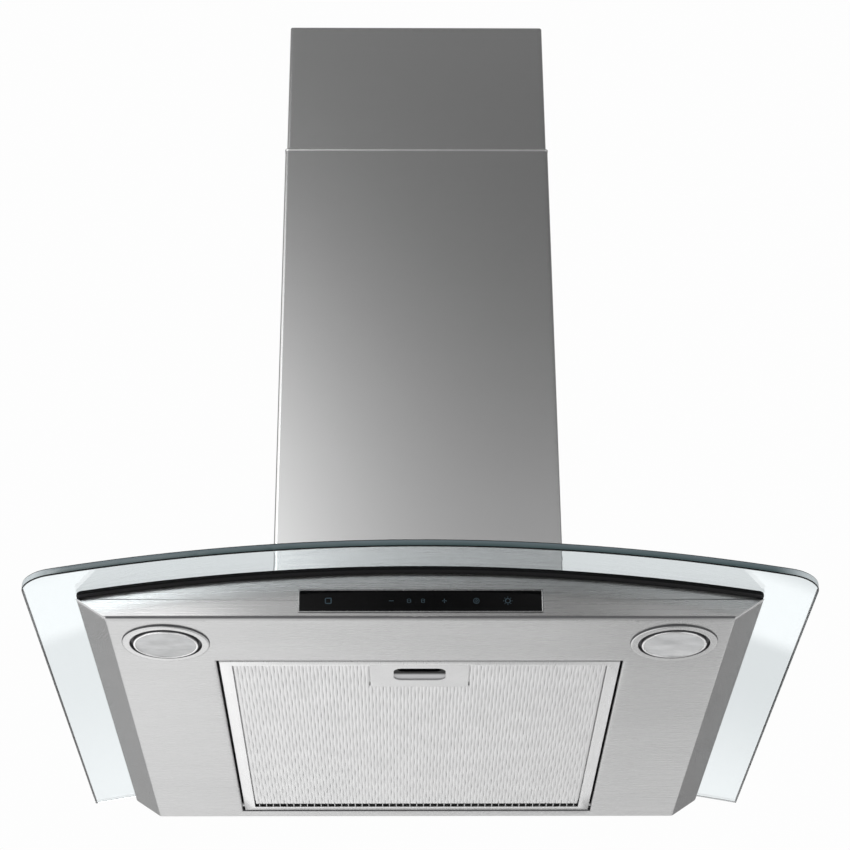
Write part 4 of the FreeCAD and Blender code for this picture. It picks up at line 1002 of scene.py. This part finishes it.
def springs():
    """Round wire wound about two lines that run front to back: the wire's middle circles the line
    as it moves on, and its section stands square to the winding."""
    turn = np.linspace(0, 2 * np.pi * spring_turns, 16 * spring_turns + 1)[:, None]
    round_wire = np.radians(np.arange(0, 360, 60))
    reach = spring_radius + spring_wire / 2 * np.cos(round_wire)
    length = spring_front - spring_rear - spring_wire
    along = turn / turn[-1] * length - spring_front + spring_wire / 2
    coil = at(reach * np.cos(turn), along + spring_wire / 2 * np.sin(round_wire),
              spring_height + reach * np.sin(turn))
    coils = np.stack([coil + (side * spring_x, 0, 0) for side in (-1, 1)])
    wound = piece("springs", [lattice(coils, (False, True), ends=True)],
                  [finishes["bright_steel"]], body="grease_filter", stands_for=["latch_springs"],
                  crease=70.0)
    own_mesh(wound)


glass_canopy()
gasket()
chimney()
tray()
fascia()
touch_strip()
for side, sign in (("left", -1), ("right", 1)):
    lamp(side, sign)
filter_rails()
filter_faces()
filter_drain()
latch_cover()
springs()
touch_signs()


# ---- studio ----
def studio_world():
    """White behind the object; metal sees a softer room, bright low in front on the left and
    dark above; matt surfaces get an even light."""
    world = bpy.data.worlds.new("studio")
    bpy.context.scene.world = world
    world.use_nodes = True
    tree = world.node_tree
    tree.nodes.clear()
    ray = add(tree, "LightPath").outputs
    way = add(tree, "SeparateXYZ", Vector=add(tree, "TexCoord").outputs["Generated"]).outputs

    front = ramp(tree, way[1], 0.1, -0.5, 0.0, 1.0)
    reach = math_of(tree, "MAXIMUM", math_of(tree, "SUBTRACT", 0.04, way[0]), 0.0)
    left = times(tree, math_of(tree, "POWER", reach, 2.2), 165.0)
    left = times(tree, math_of(tree, "MINIMUM", left, 4.0),
                 times(tree, ramp(tree, way[0], -0.15, -0.28, 1.0, 0.12),
                       ramp(tree, way[2], 0.15, 0.3, 0.2, 1.0)))
    right = times(tree, ramp(tree, way[0], 0.01, 0.07, 0.0, 0.7),
                  times(tree, ramp(tree, way[2], 0.448, 0.434, 0.0, 1.0),
                        ramp(tree, way[2], 0.4, 0.418, 0.3, 1.0)))
    glow = plus(tree, left, plus(tree, right, 0.15))
    low = math_of(tree, "POWER", ramp(tree, way[2], 0.6, 0.4, 0.0, 1.0), 1.35)
    ahead = plus(tree, times(tree, low, glow), ramp(tree, way[2], 0.585, 0.64, 0.115, 0.27))
    rear = ramp(tree, way[0], -0.35, 0.35, 0.4, 0.27)
    room = level_of(tree, front, rear, ahead)
    through = math_of(tree, "MINIMUM", ray["Transmission Depth"], 1.0)
    room = times(tree, room, math_of(tree, "MULTIPLY_ADD", through, 0.5))
    even, seen, white = (
        add(tree, "Background", Color=(grey, grey, grey, 1.0), Strength=strength).outputs[0]
        for grey, strength in ((1.0, 0.75), (1.0, room), (0.985, 1.0)))
    mirrored = math_of(tree, "MINIMUM", ray["Glossy Depth"], 1.0)
    behind = math_of(tree, "MAXIMUM", ray["Is Camera Ray"], ray["Is Transmission Ray"])
    plain = add(tree, "MixShader", i0=behind, i1=even, i2=white).outputs[0]
    both = add(tree, "MixShader", i0=mirrored, i1=plain, i2=seen).outputs[0]
    add(tree, "OutputWorld", Surface=both)


def floor():
    """Pale floor, far below the hood; only its upper side shows."""
    size, height = 6.0, -1.75
    mesh = bpy.data.meshes.new("floor")
    mesh.from_pydata([(-size, -size, height), (size, -size, height), (size, size, height),
                      (-size, size, height)], [], [(0, 1, 2, 3)])
    grey = (0.86, 0.86, 0.86)
    made, tree, shader = blank("pale floor", grey, Roughness=0.8)
    feed(tree, shader, Base_Color=shaded(tree, grey, noise(tree, (3.0,) * 3), 0.99, 1.01))
    x, y, _ = where(tree)
    near = plus(tree, ramp(tree, x, 0.25, -0.7, 0.44, 1.02), ramp(tree, x, 0.45, 0.8, 0.0, 0.27))
    level = level_of(tree, ramp(tree, y, 3.2, 4.2, 0.0, 1.0), near, 1.12)
    strip = times(tree, ramp(tree, y, 2.65, 2.75, 0.0, 1.0), ramp(tree, y, 3.0, 3.1, 1.0, 0.0))
    lit = times(tree, ramp(tree, x, 0.42, 0.5, 1.5, 0.1), ramp(tree, x, -1.0, -0.8, 0.6, 1.0))
    level = level_of(tree, strip, level, lit)
    level = times(tree, level, ramp(tree, y, -2.2, -0.8, 0.3, 1.0))
    glow = add(tree, "Emission", Color=(1.0, 1.0, 1.0, 1.0), Strength=level).outputs[0]
    metal = add(tree, "MixShader", i0=add(tree, "LightPath").outputs["Is Glossy Ray"],
                i1=shader.outputs[0], i2=glow).outputs[0]
    both = add(tree, "MixShader", i0=add(tree, "NewGeometry").outputs["Backfacing"], i1=metal,
               i2=add(tree, "BsdfTransparent").outputs[0])
    feed(tree, tree.nodes["Material Output"], Surface=both.outputs[0])
    mesh.materials.append(made)
    placed("floor", mesh)


def soft_light(name, place, target, size, power):
    """Soft square light that the camera doesn't see."""
    light = bpy.data.lights.new(name, "AREA")
    light.shape = "SQUARE"
    light.size = size
    light.energy = power
    made = placed(name, light)
    made.location = place
    made.rotation_euler = (Vector(target) - Vector(place)).to_track_quat("-Z", "Y").to_euler()
    made.visible_camera = False


def camera():
    """Low in front of the hood, looking up at it."""
    yaw, pitch, roll = (math.radians(angle) for angle in (0.739, 28.540, -0.308))
    ahead = Vector((math.sin(yaw) * math.cos(pitch), math.cos(yaw) * math.cos(pitch),
                    math.sin(pitch)))
    right = Vector((math.cos(yaw), -math.sin(yaw), 0.0))
    up = right.cross(ahead)
    across = right * math.cos(roll) + up * math.sin(roll)
    upright = up * math.cos(roll) - right * math.sin(roll)
    data = bpy.data.cameras.new("camera")
    data.lens = 96.52
    data.sensor_width = 36.0
    made = placed("camera", data)
    turn = Matrix((across, upright, -ahead)).transposed().to_4x4()
    made.matrix_world = Matrix.Translation((-0.0165, -2.0452, -0.8864)) @ turn
    bpy.context.scene.camera = made


studio_world()
floor()
soft_light("key", (-1.7, -2.0, 0.5), (0.0, -0.25, 0.1), 2.8, 28.0)
soft_light("fill", (1.9, -1.8, -0.2), (0.0, -0.25, 0.1), 2.4, 10.0)
camera()
bpy.context.scene.view_settings.view_transform = "Standard"
